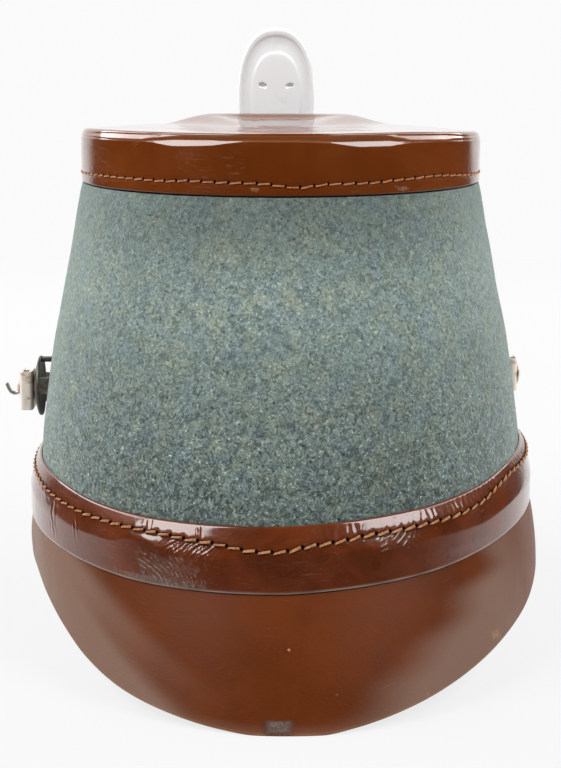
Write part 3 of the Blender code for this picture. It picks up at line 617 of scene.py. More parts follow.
# %% Make the felt crown
FELT_WALL, TOP_WALL, GAP = 2.6, 1.9, 0.3
CROWN_TOP, INNER_TOP = 177.0, 157.5         # where the felt ends, and where its inner face starts to step in
BASE_LIFT, SHOULDER_DROP = 2.5, 0.5         # felt's foot above the band's, and its step below the top's edge
TOP_EDGE, TOP_DIP = 162.7, 0.0125           # the leather top's lower edge, and its fall to the back
BASE_HALF_WIDTH = 88.4
BAND_EDGES = [  # angle from the back, upper edge, lower edge
    (0, 60.0, 38.8),
    (30, 61.0, 40.1),
    (45, 62.5, 41.9),
    (60, 65.0, 43.9),
    (90, 67.5, 46.5),
    (135, 71.5, 49.2),
    (180, 74.0, 51.0),
]
BAND_SKEW = 0.031           # the base sits lower on the wearer's left
UPPER, LOWER = 1, 2
FELT_SHADE_AND_FLECKS = [  # height, painted shade there (darker towards the leather top and the band), how strong its flecks are
    (36.0, 0.50, 1.7), (66.0, 0.50, 1.7), (76.0, 0.54, 1.6), (87.0, 0.62, 1.4), (98.0, 0.71, 1.2), (112.0, 0.83, 1.0),
    (120.0, 0.93, 1.0), (127.0, 0.98, 1.0), (136.0, 0.94, 0.95), (143.0, 0.82, 0.9), (151.0, 0.69, 0.85),
    (162.0, 0.60, 0.8), (177.0, 0.60, 0.8),
]


def half_turn(angle):
    """Angle from -180 to 180, positive on the wearer's left."""
    return (np.asarray(angle, float) + 180) % 360 - 180


def from_back(angle):
    """Angle from the back, 0 to 180, on either side."""
    return np.abs(half_turn(angle))


def band_edge(angle, column):
    """Height of the band's upper or lower edge."""
    skew = BAND_SKEW * BASE_HALF_WIDTH * np.sin(np.radians(angle))
    return smooth_column(BAND_EDGES, column, from_back(angle)) - skew


def top_edge(y):
    """Height of the leather top's lower edge, which falls towards the back."""
    return TOP_EDGE - TOP_DIP * y


def make_felt_crown():
    around = np.arange(0, 360, 0.75)[:, None]
    neck, inner_neck = (oval_point(around, *TOP_OVAL, -off)[0] for off in (TOP_WALL + GAP, TOP_WALL + GAP + FELT_WALL))
    foot = band_edge(around, LOWER) + BASE_LIFT
    shoulder = top_edge(neck[..., 1]) - SHOULDER_DROP
    height = foot + np.linspace(0, 1, 70)[None, :] * (shoulder - foot)
    above_band = ease(height, band_edge(around, UPPER) + 4, band_edge(around, UPPER) + 20)
    held = above_band * ease(shoulder - height, 2, 22)
    wave = waves(around + height * 0.4, 5, 2, 7) * 0.22 + waves(around - height * 0.9, 6, 8, 22) * 0.09
    outer = crown_point(around, height, wave * held)[0]
    inner_height = foot + np.linspace(1, 0, 26)[None, :] * (INNER_TOP - foot)
    inner = crown_point(around, inner_height, -FELT_WALL)[0]
    inside_top = [raised(neck, shoulder + 0.1), raised(neck, CROWN_TOP - 0.5), raised(neck * 0.997, CROWN_TOP),
                  raised(inner_neck, CROWN_TOP), raised(inner_neck, shoulder + 0.6)]
    sections = np.concatenate([outer, *inside_top, inner], axis=1)
    crown = shell("felt_crown", sections)
    # painted shade: darker towards the leather top and the band, lighter away from the back
    painted_shade = smooth_column(FELT_SHADE_AND_FLECKS, 1, sections[..., 2])
    paint(crown, "painted_shade", painted_shade + (1 - painted_shade) * 0.5 * ease(from_back(around), 18, 75))
    paint(crown, "contrast", smooth_column(FELT_SHADE_AND_FLECKS, 2, sections[..., 2]))
    return crown


dress(make_felt_crown(), felt, "crown_felt", "crown")

# %% [markdown]
# ## Stitch lines
# Both rows of stitches are found first, because the leather is pulled in where the needle went through.
# A line is a closed ring of points on the leather with the outward direction at each; its length over
# the wanted pitch gives a whole number of stitches.

# %% Find a stitch line's length and its needle holes
TOP_STITCH_RISE = [  # angle, height above the leather top's lower edge
    (-180, 3.4), (-80, 3.3), (-62, 3.8), (-52, 4.5), (-44, 4.95), (-36, 4.6), (-29, 4.3), (-22, 3.8), (-12, 3.8),
    (-7, 3.2), (-3.3, 2.8), (0.2, 3.1), (4, 3.8), (8, 4.1), (19, 4.25), (26, 4.45), (33, 4.0), (43, 4.15),
    (60, 4.0), (80, 3.3), (180, 3.4),
]
BAND_STITCH_DROP = [  # angle, depth below the band's upper edge
    (-180, 4.5), (-75, 3.6), (-60, 2.6), (-52, 3.2), (-45, 4.4), (-38, 4.8), (-30, 4.6), (-17, 4.6),
    (-10.5, 5.4), (-4, 6.0), (-1, 6.7), (2, 7.25), (5, 7.25), (8.5, 6.7), (14.5, 5.3), (21, 4.5),
    (28, 3.8), (35, 3.75), (46, 4.2), (58, 4.7), (72, 4.2), (90, 3.8), (180, 4.5),
]
TOP_PITCH, BAND_PITCH = 4.65, 4.9
TOP_SLANT, BAND_SLANT = 0.08, 0.19      # of the stitches off their line, radians
DIMPLE_DEPTH, GROOVE_DEPTH, LIP_HEIGHT = 0.14, 0.14, 0.03
HOLE_REACH, GROOVE_REACH, LIP_REACH, LIP_OFF_LINE = 0.62, 0.8, 0.9, 1.7


def ring_length(points):
    """Length along a closed ring up to each of its points, and all the way round."""
    steps = step_lengths(points)
    return np.concatenate([[0], np.cumsum(steps)[:-1]]), steps.sum()


def needle_pull(along, length, stitches, off_line, slant):
    """How far the leather is pulled in near a stitch line: a groove, and a dimple at each needle hole."""
    pitch = length / stitches
    to_hole = ((along / pitch + 0.5) % 1 - 0.5) * pitch
    to_middle = ((along / pitch) % 1 - 0.5) * pitch
    dimple = np.exp(-(to_hole / HOLE_REACH) ** 2 - (off_line / GROOVE_REACH) ** 2)
    under_thread = np.exp(-((off_line + slant * to_middle) / GROOVE_REACH) ** 2)
    lip = np.exp(-((np.abs(off_line) - LIP_OFF_LINE) / LIP_REACH) ** 2) * np.cos(np.pi * to_hole / pitch) ** 2
    return DIMPLE_DEPTH * dimple + GROOVE_DEPTH * under_thread - LIP_HEIGHT * lip


print("stitch lines:", len(TOP_STITCH_RISE), "and", len(BAND_STITCH_DROP), "rows")

# %% [markdown]
# ## The leather top
# The top is one piece of leather, turned down all round, with a face that is slightly hollow and a rim
# that stands up in front, behind the badge. It is made as rings from the lower edge outwards and up to the
# middle, then back on the inside. A bevel at the rim's corner and a ledge below it lean back just enough
# to mirror the lights. The rim has sunk a little on the wearer's right.

# %% Make the leather top
TOP_RIM = 181.6
RIM_INSET, FINE_START = 3.0, 1.4        # the wall's top below the rim, and how far under that rings get finer
RIM_SAG, SAG_START = 1.3, 30.0          # sunk on the wearer's right, from this far out
RIM_SHAPE = [  # angle, bevel's height at the corner, ledge's height below the rim, ledge's breadth, corner radius
    (-180, 0.5, 3.0, 0.4, 1.8), (-62, 0.5, 3.0, 0.4, 1.6), (-54, 1.0, 3.0, 0.4, 1.2), (-49, 1.6, 3.0, 0.4, 1.0),
    (-36, 1.6, 3.2, 0.5, 1.0), (-31, 0.7, 3.4, 1.0, 0.9), (-28, 0.3, 3.5, 1.7, 0.7), (-20, 0.2, 3.5, 1.7, 0.7),
    (-15, 0.2, 3.2, 0.9, 0.7), (-11, 0.2, 2.8, 0.35, 0.7), (0, 0.2, 2.4, 0.35, 0.7), (9, 0.2, 2.4, 0.45, 0.7),
    (15, 0.2, 2.8, 0.8, 0.7), (20, 0.2, 3.1, 1.7, 0.8), (30, 0.3, 3.3, 2.0, 0.8), (34, 0.8, 3.2, 1.2, 0.7),
    (38, 1.2, 3.0, 0.5, 0.8), (42, 1.6, 3.0, 0.4, 0.9), (53, 1.6, 3.0, 0.4, 0.9), (60, 1.15, 3.0, 0.4, 1.2),
    (72, 0.5, 3.0, 0.4, 1.7), (180, 0.5, 3.0, 0.4, 1.8),
]
LEAN = 0.566                # how far bevel and ledge lean back for each millimetre of height
TOP_FACE = [  # distance in from the wall, height
    (3.0, 181.6), (12.0, 181.5), (30.0, 181.15), (50.0, 180.8), (71.9, 180.6),
]
FRONT_RISE, FRONT_FALL = 3.6, 1.1
RISE_SECTION = [  # distance in from the wall, share of the rise in the middle, share at its ends
    (0, 1.0, 1.0), (5, 0.98, 0.95), (6, 0.94, 0.93), (7, 0.86, 0.91), (8, 0.75, 0.88), (9, 0.63, 0.86),
    (10, 0.54, 0.83), (11, 0.49, 0.80), (12.5, 0.455, 0.76), (15, 0.41, 0.70), (20, 0.34, 0.56),
    (30, 0.20, 0.33), (40, 0.09, 0.14), (50, 0.02, 0.03), (58, 0.0, 0.0), (80, 0.0, 0.0),
]


def rim_level(around, inset):
    """The face lies a little lower in its front half, where the rim rises behind the badge."""
    fall = FRONT_FALL * ease(from_back(around), 70, 105) * (1 - inset / TOP_HALF_WIDTH)
    off_front = 180 - from_back(around)
    middle, end = (smooth_column(RISE_SECTION, column, inset) for column in (1, 2))
    section = middle + (end - middle) * ease(off_front, 8, 27)
    return FRONT_RISE * (1 - ease(off_front, 22, 42)) * section - fall


def rim_sag(x, height):
    """How far the rim has sunk on the wearer's right."""
    sunk = np.clip((-x - SAG_START) / (TOP_HALF_WIDTH - SAG_START), 0, 1)
    return RIM_SAG * sunk ** 2 * ease(height, 166.0, 178.0)


def top_ring(around, inset, height):
    """One ring of the leather top; beyond the rim the oval is drawn smaller instead of moved in."""
    if inset <= 4.0:
        plan = oval_point(around, *TOP_OVAL, -inset)[0]
    else:
        plan = oval_point(around, *TOP_OVAL)[0] * (1 - inset / TOP_HALF_WIDTH)
    height = height(plan[:, 1]) if callable(height) else np.full(len(around), height)
    return raised(plan, height - rim_sag(plan[:, 0], height))


around_top = np.arange(0, 360, 0.4)
top_line = top_ring(around_top, 0.0, top_edge)
top_line[:, 2] += smooth_column(TOP_STITCH_RISE, 1, half_turn(around_top))
top_along, top_length = ring_length(top_line)
top_stitches = round(top_length / TOP_PITCH)


def make_leather_top():
    rings = [top_ring(around_top, inset, lambda y, rise=rise: top_edge(y) + rise)
             for inset, rise in ((TOP_WALL - 0.2, 0.05), (1.2, 0.0), (0.55, 0.02), (0.2, 0.16), (0.04, 0.4))]
    wall_top = TOP_RIM - RIM_INSET
    wobble = waves(around_top, 11, 3, 11) * 0.28 + waves(around_top, 12, 14, 40) * 0.08
    normal = oval_point(around_top, *TOP_OVAL)[1]
    bevel, below, breadth, corner_radius = (smooth_column(RIM_SHAPE, n, half_turn(around_top)) for n in (1, 2, 3, 4))

    def step_in(drop):
        """How far the ledge and the bevel have stepped in at a depth below the rim."""
        on_ledge, on_bevel = np.clip(below + breadth / 2 - drop, 0, breadth), corner_radius + bevel - drop
        return LEAN * (on_ledge + np.clip(on_bevel, 0, bevel))

    rise = rim_level(around_top, 0.0)
    far_below = np.full(len(around_top), 20.0)
    drops = [far_below] * len(rings)
    for share in np.linspace(0.03, 1, 44):
        ring = top_ring(around_top, 0.0, lambda y: top_edge(y) + share * (wall_top - FINE_START - top_edge(y)))
        ring[:, 2] += rise * ease(share, 0.35, 1.0)
        pull = needle_pull(top_along, top_length, top_stitches, ring[:, 2] - top_line[:, 2], TOP_SLANT)
        ripple = waves(around_top, 13, 4, 16) * 0.10 * ease(ring[:, 2], 168, 176) + wobble * 0.5 * ease(share, 0.8, 1.0)
        drops.append(TOP_RIM + rise - ring[:, 2])
        ring[:, :2] += normal * (ripple - pull - step_in(drops[-1]))[:, None]
        rings.append(ring)
    wall_ripple = waves(around_top, 13, 4, 16) * 0.10 + wobble * 0.5
    for share in np.linspace(0.06, 1, 16):
        drop = (RIM_INSET + FINE_START) * (1 - share) + corner_radius * share
        ring = top_ring(around_top, 0.0, TOP_RIM)
        ring[:, 2] += rise - drop
        ring[:, :2] += normal * (wall_ripple - step_in(drop))[:, None]
        drops.append(drop)
        rings.append(ring)
    for turn in np.radians(np.linspace(9, 90, 10)):
        ring = top_ring(around_top, 0.0, TOP_RIM)
        ring[:, 2] += rise + wobble * 0.3 * np.sin(turn) - corner_radius * (1 - np.sin(turn))
        stepped = wall_ripple * np.cos(turn) - step_in(0.0) - corner_radius * (1 - np.cos(turn))
        ring[:, :2] += normal * stepped[:, None]
        rings.append(ring)
    for inset in (4.2, 5.0, 5.6, 6.3, 7, 7.8, 8.6, 9.6, 10.8, 12, 13.5, 15, 17, 19.5, 23, 28, 35, 42, 49, 56, 63, 69):
        ring = top_ring(around_top, inset, float(smooth_column(TOP_FACE, 1, inset)))
        uneven = wobble * 0.3 * (1 - ease(inset, 3, 12)) + waves(around_top, 14, 2, 6) * 0.10 * ease(inset, 8, 20)
        ring[:, 2] += rim_level(around_top, inset) + uneven * (1 - ease(inset, 45, 69))
        rings.append(ring)
    inside = [top_ring(around_top, inset, height) for inset, height in (
        (TOP_WALL, lambda y: top_edge(y) + 0.4), (TOP_WALL, wall_top - 0.6),
        (TOP_WALL + 0.8, TOP_RIM - TOP_WALL - 0.6), (3.9, TOP_RIM - TOP_WALL))]
    for inset in (6.5, 9, 12, 16, 22, 30, 42, 54, 66):
        inside.append(top_ring(around_top, inset, float(smooth_column(TOP_FACE, 1, inset)) - TOP_WALL))
        inside[-1][:, 2] += rim_level(around_top, inset)
    middle = TOP_FACE[-1][1]
    top = lidded("leather_top", inside[::-1] + rings, (0, 0, middle - TOP_WALL), (0, 0, middle))
    drops += [np.zeros(len(around_top))] * (len(rings) - len(drops))
    drops = np.array([far_below] * len(inside) + drops)
    # painted highlight: the collar above the ledge, and a thin line along the ledge at the back, are lightened
    collar = (1 - ease(drops, below - breadth / 2 - 0.3, below - breadth / 2 + 0.1)) * ease(drops, 0.1, 0.5)
    line = np.exp(-((drops - below) / 0.25) ** 2) * (1 - ease(np.abs(half_turn(around_top)), 14, 19))
    paint(top, "wear_and_painted_highlight", np.concatenate([(0.14 * collar + 0.35 * line).ravel(), [0, 0]]))
    return top


dress(make_leather_top(), top_leather, "top_leather", "top_cap")

# %% [markdown]
# ## The band
# The band is a wide strip of lacquered leather. It hugs the felt above the stitches and swells over the
# peaks' sewn-in edges below them. Lacquer creases where the strip is bent or knocked, so a short table
# places patches of fine ripples: each is a window of waves, with its own spacing, slant and depth.

# %% Make the band
BAND_INNER = [  # share of the height, inner face off the felt
    (0.00, 2.4), (0.45, 2.4), (0.60, 1.7), (0.70, 1.1), (0.78, 0.5), (0.88, 0.3), (1.00, 0.3),
]
EDGE_OFF, FULL_OFF = 0.85, 4.45
UPPER_LEAN = [  # angle, how far the strip above the thread leans back for each millimetre of height
    (-180, 0.50), (-60, 0.56), (-36, 0.64), (-25, 0.58), (-15, 0.50), (13, 0.50), (20, 0.55), (27, 0.62), (35, 0.68),
    (60, 0.56), (180, 0.50),
]
STITCH_VALLEY = [  # angle, how deep the leather is pulled in below the thread
    (-180, 0.0), (-33, 0.0), (-28, 0.7), (-18, 0.7), (-13, 0.0), (11, 0.0), (15, 0.9), (26, 0.9), (32, 0.3), (37, 0.0),
    (180, 0.0),
]
BAND_SWELL = [  # angle, depth below the thread in which the band swells out to its full thickness
    (-180, 8.0), (-60, 9.0), (-45, 7.5), (-35, 6.0), (-29, 4.8), (-18, 4.8), (-12, 3.8), (10, 3.8), (15, 5.4),
    (25, 5.2), (30, 3.4), (33, 3.4), (38, 6.0), (60, 7.0), (180, 8.0),
]
RIPPLES = [  # angle, depth below the upper edge, half angle, half depth, spacing, slant in degrees, height
    (20.0, 7.6, 7.6, 3.4, 1.20, -50, 0.20),
    (7.0, 8.6, 5.0, 1.8, 1.5, -60, 0.04),
    (19.5, 16.5, 3.2, 4.5, 1.7, 25, 0.07),
    (26.0, 15.0, 4.0, 4.5, 2.3, -30, 0.05),
    (-22.8, 7.8, 5.0, 2.8, 1.5, -28, 0.12),
    (-26.5, 8.6, 2.2, 2.2, 1.3, 40, 0.07),
    (24.0, 1.9, 9.5, 2.2, 3.4, 4, 0.015),
    (29.2, 2.2, 1.3, 2.6, 2.2, 8, 0.10),
    (18.0, 2.2, 1.2, 2.6, 2.0, 12, 0.10),
    (-12.0, 2.4, 6.0, 2.4, 3.0, -8, 0.04),
    (-27.0, 2.2, 9.0, 2.3, 2.6, -6, 0.045),
    (-46.0, 2.2, 13.0, 2.3, 2.3, -4, 0.11),
    (-75.0, 2.2, 18.0, 2.3, 2.3, 5, 0.10),
    (58.5, 12.0, 2.0, 8.0, 3.0, 10, 0.12),
    (49.0, 10.0, 1.4, 4.5, 2.4, 8, 0.10),
    (110.0, 2.2, 25.0, 2.3, 2.6, 5, 0.06),
    (-140.0, 2.2, 30.0, 2.3, 2.8, -5, 0.06),
]
DEGREE = 1.66               # millimetres round the band for each degree


def ripples(angle, drop):
    """Height of the creases in the band's lacquer."""
    turned = half_turn(angle)
    height = np.zeros(np.broadcast(turned, drop).shape)
    for at, deep, half_angle, half_depth, spacing, slant, size in RIPPLES:
        window = (1 - ease(np.abs(turned - at) / half_angle, 0.45, 1.0)) * (
            1 - ease(np.abs(drop - deep) / half_depth, 0.45, 1.0))
        across = (turned - at) * DEGREE * np.cos(np.radians(slant)) + drop * np.sin(np.radians(slant))
        bend = 0.9 * np.sin((turned * 0.61 + drop * 0.35) * 1.7) + 0.6 * np.sin(turned * 2.3 - drop * 1.1)
        height = height + size * window * np.sin(2 * np.pi * across / spacing + bend)
    return height


around_band = np.arange(0, 360, 0.25)
band_drop = smooth_column(BAND_STITCH_DROP, 1, half_turn(around_band))
band_line_height = band_edge(around_band, UPPER) - band_drop


def band_inside(around, height):
    """How far the band's inner face stands off the felt at a height."""
    low, high = band_edge(around, LOWER), band_edge(around, UPPER)
    return smooth_column(BAND_INNER, 1, (height - low) / (high - low))


def band_outside(around, height):
    """Its outer face: an even lean from the upper edge to the thread, then a swell to the full thickness."""
    turned = half_turn(around)
    drop = band_edge(around, UPPER) - height
    thread_drop, swell, lean, valley = (
        smooth_column(table, 1, turned) for table in (BAND_STITCH_DROP, BAND_SWELL, UPPER_LEAN, STITCH_VALLEY))
    below = drop - thread_drop
    off = EDGE_OFF + lean * np.minimum(drop, thread_drop) - valley * ease(below, 0.0, 0.9)
    share = np.clip((below + 0.3) / swell, 0, 1)
    return off + (FULL_OFF - off) * (0.6 * share + 0.4 * ease(share, 0, 1))


band_line = crown_point(around_band, band_line_height, band_outside(around_band, band_line_height))[0]
band_along, band_length = ring_length(band_line)
band_stitches = round(band_length / BAND_PITCH)


def make_band():
    around = around_band[:, None]
    low, high = band_edge(around, LOWER), band_edge(around, UPPER)
    share = np.concatenate([[0.006, 0.018], np.linspace(0.036, 0.985, 46), [0.996]])[None, :]
    height = low + share * (high - low)
    pull = needle_pull(band_along[:, None], band_length, band_stitches, height - band_line_height[:, None], BAND_SLANT)
    calm = ease(share, 0.03, 0.12) * ease(1 - share, 0.0, 0.05)
    wave = waves(around + height * 0.3, 21, 2, 9) * 0.08 + waves(around - height * 0.5, 22, 12, 36) * 0.02
    off = band_outside(around, height) + (wave + ripples(around, high - height)) * calm - pull
    rounded = 0.22 * (1 - ease(share, 0.0, 0.03)) + 0.12 * ease(share, 0.988, 1.0)
    outside = crown_point(around, height, off - rounded)[0]
    under = crown_point(around, low, band_outside(around, low) - 0.7)[0]
    inner_share = np.array([1.0, 0.94, 0.88, 0.82, 0.73, 0.64, 0.54, 0.45, 0.2, 0.02])[None, :]
    inner_height = low + inner_share * (high - low)
    inner = crown_point(around, inner_height, band_inside(around, inner_height))[0]
    band = shell("leather_band", np.concatenate([under, outside, inner], axis=1))
    # painted highlight along the band's lower edge, uneven along the way
    above_edge = np.concatenate([np.zeros(low.shape), height - low, np.full(inner_height.shape, 9.0)], axis=1)
    edge_paint_variation = 0.60 + 0.25 * waves(np.repeat(around, above_edge.shape[1], 1), 23, 9, 60)
    wear_and_painted_highlight = (1 - ease(above_edge, 0.35, 0.95)) * edge_paint_variation
    paint(band, "wear_and_painted_highlight", np.clip(wear_and_painted_highlight, 0, 1))
    return band


dress(make_band(), band_leather, "band_leather", "head_band")

# %% [markdown]
# ## The peaks
# Each peak is cut from thick waxed leather and sewn in under the band. Its section starts as a collar
# behind the band, bends out, falls in a slight curve and ends in a rounded edge that the hat stands on.
# Two tables give the height of that edge round the head. A painted highlight with some wear lightens the edge, and a
# greyish painted reflection lightens the sides.

# %% Make the peaks
BACK_PEAK = [  # angle from its middle, edge height on the wearer's left, on the wearer's right
    (0, 0.0, 0.0), (5, 0.0, 0.0), (10, 0.8, 1.2), (20, 3.3, 4.5), (30, 6.5, 8.3), (40, 11.3, 12.3),
    (50, 17.4, 16.2), (60, 23.2, 19.6), (70, 28.0, 23.0), (80, 29.5, 25.5), (90, 33.0, 31.0), (95, 38.0, 40.0),
]
FRONT_PEAK = [
    (0, 0.0, 0.0), (5, 0.0, 0.0), (10, 0.9, 0.9), (20, 3.8, 3.8), (30, 8.6, 8.6), (45, 18.0, 18.0),
    (60, 28.5, 28.5), (70, 34.0, 36.0), (80, 39.5, 44.0),
]
BACK_SLOPE, FRONT_SLOPE, LEFT_SIDE_SLOPE, RIGHT_SIDE_SLOPE = 61.7, 58.0, 88.0, 83.0
PEAK_WALL, PEAK_BULGE, COLLAR_HEIGHT = 1.8, 1.0, 8.0
LIP_OFFSET, LIP_DROP = 3.9, 0.2
EDGE_ROUND = 0.55


def corner(before, at, after, reach, steps=4):
    """A rounded corner between two straight runs, as points (columns, steps, xyz)."""
    start = at + (before - at) / np.linalg.norm(before - at, axis=-1, keepdims=True) * reach
    end = at + (after - at) / np.linalg.norm(after - at, axis=-1, keepdims=True) * reach
    t = np.linspace(0, 1, steps)[None, :, None]
    return (1 - t) ** 2 * start[:, None] + 2 * t * (1 - t) * at[:, None] + t ** 2 * end[:, None]


def make_peak(name, middle, rows, middle_slope, seed):
    end = rows[-1][0]
    turned = np.arange(-end, end + 0.25, 0.5)
    angle = middle + turned
    left = np.sin(np.radians(angle)) > 0
    root = band_edge(angle, LOWER)
    side = np.where(left, LEFT_SIDE_SLOPE, RIGHT_SIDE_SLOPE)
    slope = np.radians(side - (side - middle_slope) * np.cos(np.radians(turned)) ** 2)
    edge = np.where(left, smooth_column(rows, 1, np.abs(turned)), smooth_column(rows, 2, np.abs(turned)))
    start, normal = crown_point(angle, root - LIP_DROP, LIP_OFFSET)
    upright = np.array([0.0, 0.0, 1.0])
    down = normal * np.cos(slope)[:, None] - upright * np.sin(slope)[:, None]
    proud = normal * np.sin(slope)[:, None] + upright * np.cos(slope)[:, None]
    length = (start[:, 2] - edge) / np.sin(slope)
    bulge = PEAK_BULGE * np.minimum(1, length / 30)
    t = np.linspace(0, 1, 36)[None, :]
    wave = waves(angle[:, None] + t * 40, seed, 3, 12) * 0.14 * np.sin(np.pi * t)
    face = (start[:, None] + down[:, None] * (length[:, None] * t)[..., None]
            + proud[:, None] * (bulge[:, None] * np.sin(np.pi * t) + wave)[..., None])
    tip = face[:, -1] - normal * (PEAK_WALL / np.sin(slope))[:, None]
    back = face[:, 2:-1:3] - proud[:, None] * PEAK_WALL
    outer_tip = corner(face[:, -2], face[:, -1], tip, EDGE_ROUND)
    inner_tip = corner(face[:, -1], tip, back[:, -1], EDGE_ROUND)
    lift = np.minimum(0.0, np.minimum(outer_tip[..., 2].min(), inner_tip[..., 2].min()))
    collar = [crown_point(angle, root + COLLAR_HEIGHT, off)[0] for off in (0.3, 0.3 + PEAK_WALL)]
    bend = crown_point(angle, root - 0.3, 0.3 + PEAK_WALL)[0]
    under = crown_point(angle, root - LIP_DROP - 0.6, 1.5)[0]
    inner_bend = crown_point(angle, root + 1.0, 0.3)[0]
    parts = [collar[0][:, None], collar[1][:, None], bend[:, None], face[:, :-1], outer_tip, inner_tip,
             back[:, ::-1], under[:, None], inner_bend[:, None]]
    section = np.concatenate(parts, axis=1)
    section[..., 2] -= lift
    peak = shell(name, section, closed=False)
    counts = [part.shape[1] for part in parts]
    hidden, inner_side = sum(counts[:3]), sum(counts[6:])
    # painted highlight with some wear along the peak's rounded edge
    wear_and_painted_highlight = np.concatenate([np.zeros(hidden), ease(t[0, :-1], 0.975, 1.0) * 0.2, np.full(4, 0.35), np.full(4, 0.45),
                           np.zeros(inner_side)])
    edge_paint_variation = 0.75 + 0.25 * waves(angle, seed + 1, 10, 70)
    paint(peak, "wear_and_painted_highlight", np.clip(edge_paint_variation[:, None] * wear_and_painted_highlight[None, :], 0, 1))
    fall, off_middle, on_left = t[:, :-1], np.abs(turned)[:, None], left[:, None]
    # the greyish painted reflection starts this many degrees off the middle, nearer to it towards the peak's edge
    start = np.where(on_left, 47 - 33 * fall, 52 - 41 * fall) + 4 * waves(angle[:, None] + fall * 60, seed + 2, 2, 14)
    # the painted reflection also runs a little along the edge, and reaches less far round on the wearer's right
    painted_reflection = np.maximum(ease(off_middle, start - 11, start + 11), 0.35 * ease(fall, 0.9, 0.99))
    painted_reflection = painted_reflection * np.where(on_left, 1.0, 1 - 0.55 * ease(off_middle, 45, 62))
    paint(peak, "painted_reflection", np.concatenate([np.zeros((len(angle), hidden)), painted_reflection, np.repeat(painted_reflection[:, -1:], 8, axis=1),
                                         np.zeros((len(angle), inner_side))], axis=1))
    return peak


for name, middle, rows, slope, seed, node in (("rear_peak", 0.0, BACK_PEAK, BACK_SLOPE, 31, "back_peak"),
                                              ("fore_peak", 180.0, FRONT_PEAK, FRONT_SLOPE, 33, "front_peak")):
    dress(make_peak(name, middle, rows, slope, seed), peak_leather, "peak_leather", node)

# %% [markdown]
# ## One stitch
# A stitch is a short length of two-ply thread that rises out of one needle hole and dives into the next.
# Its plies are tubes whose height comes from a flat arch, steep at the ends. Two dark patches of painted
# shadow go with it: one in the mouth of a needle hole, and one in the groove that the thread has pressed
# into the leather.

# %% Make one stitch and the painted shadows of one needle hole and one groove
def tube(path, radius, sides):
    """Rings of a tube along a path in millimetres, for short pieces that don't turn far."""
    path = np.asarray(path, float)
    along = np.gradient(path, axis=0)
    along /= np.linalg.norm(along, axis=1, keepdims=True)
    across = np.cross(along, [0.0, 0.3, 1.0])
    across /= np.linalg.norm(across, axis=1, keepdims=True)
    up = np.cross(across, along)
    turn = np.linspace(0, 2 * np.pi, sides, endpoint=False)[None, :, None]
    return path[:, None] + radius * (np.cos(turn) * across[:, None] + np.sin(turn) * up[:, None])


def make_stitch(name, length, thickness):
    """Two plies with a little twist, lying along x with z away from the leather, in metres round their middle."""
    t = np.linspace(-1, 1, 13)
    arch = 0.16 - 0.75 * np.abs(t) ** 12
    vertices, faces = [], []
    for ply in (0, 1):
        twist = t * 0.6 + ply * np.pi + 0.2
        path = np.stack([t * length / 2, 0.27 * thickness * np.cos(twist),
                         arch + 0.27 * thickness * np.sin(twist)], 1)
        first = len(vertices)
        vertices += tube(path, 0.26 * thickness, 6).reshape(-1, 3).tolist()
        faces += (net(len(t), 6, False)[0] + first).tolist()
        faces += [list(range(first, first + 6))[::-1], list(range(len(vertices) - 6, len(vertices)))]
    stitch = mesh_object(name, np.array(vertices) * MM, faces)
    checked = bmesh.new()
    checked.from_mesh(stitch.data)
    bmesh.ops.recalc_face_normals(checked, faces=checked.faces)
    checked.to_mesh(stitch.data)
    checked.free()
    return stitch


def make_patch(name, half_length, half_width, up, rise, fullness):
    """A low dark patch of painted shadow: in the mouth of a needle hole, or in the groove along a stitch's upper side.
    """
    turn = np.linspace(0, 2 * np.pi, 16, endpoint=False)
    across, over = power(np.cos(turn), fullness), power(np.sin(turn), fullness)
    rim = np.stack([half_length * across, half_width * over - up, np.full(16, rise)], 1)
    middle_ring = rim * [0.8, 0.8, 1.0] + [0, -0.2 * up, 0.04]
    vertices = np.concatenate([rim, middle_ring])
    faces = [[k, (k + 1) % 16, 16 + (k + 1) % 16, 16 + k] for k in range(16)] + [[16 + k for k in range(16)]]
    return mesh_object(name, vertices * MM, faces)


stitch_thread = make_stitch("one_stitch", 4.1, 0.72)
top_hole_shadow = make_patch("one_small_hole", 0.42, 0.62, 0.22, -0.06, 1.0)
band_hole_shadow = make_patch("one_large_hole", 0.62, 0.62, 0.30, -0.04, 1.0)
groove_shadow_patch = make_patch("one_groove", 1.75, 0.26, 0.56, 0.03, 0.5)
print("one stitch:", len(stitch_thread.data.polygons), "faces")

# %% [markdown]
# ## Rows of stitches with Geometry Nodes
# The nodes take the closed line, divide it into two points a stitch, set a stitch on every other point
# with a groove's painted shadow, and a needle hole's painted shadow between, and turn each to lie along the
# line and face outwards. Nothing is placed by hand, so a change to the line or the number of stitches
# redoes the row.

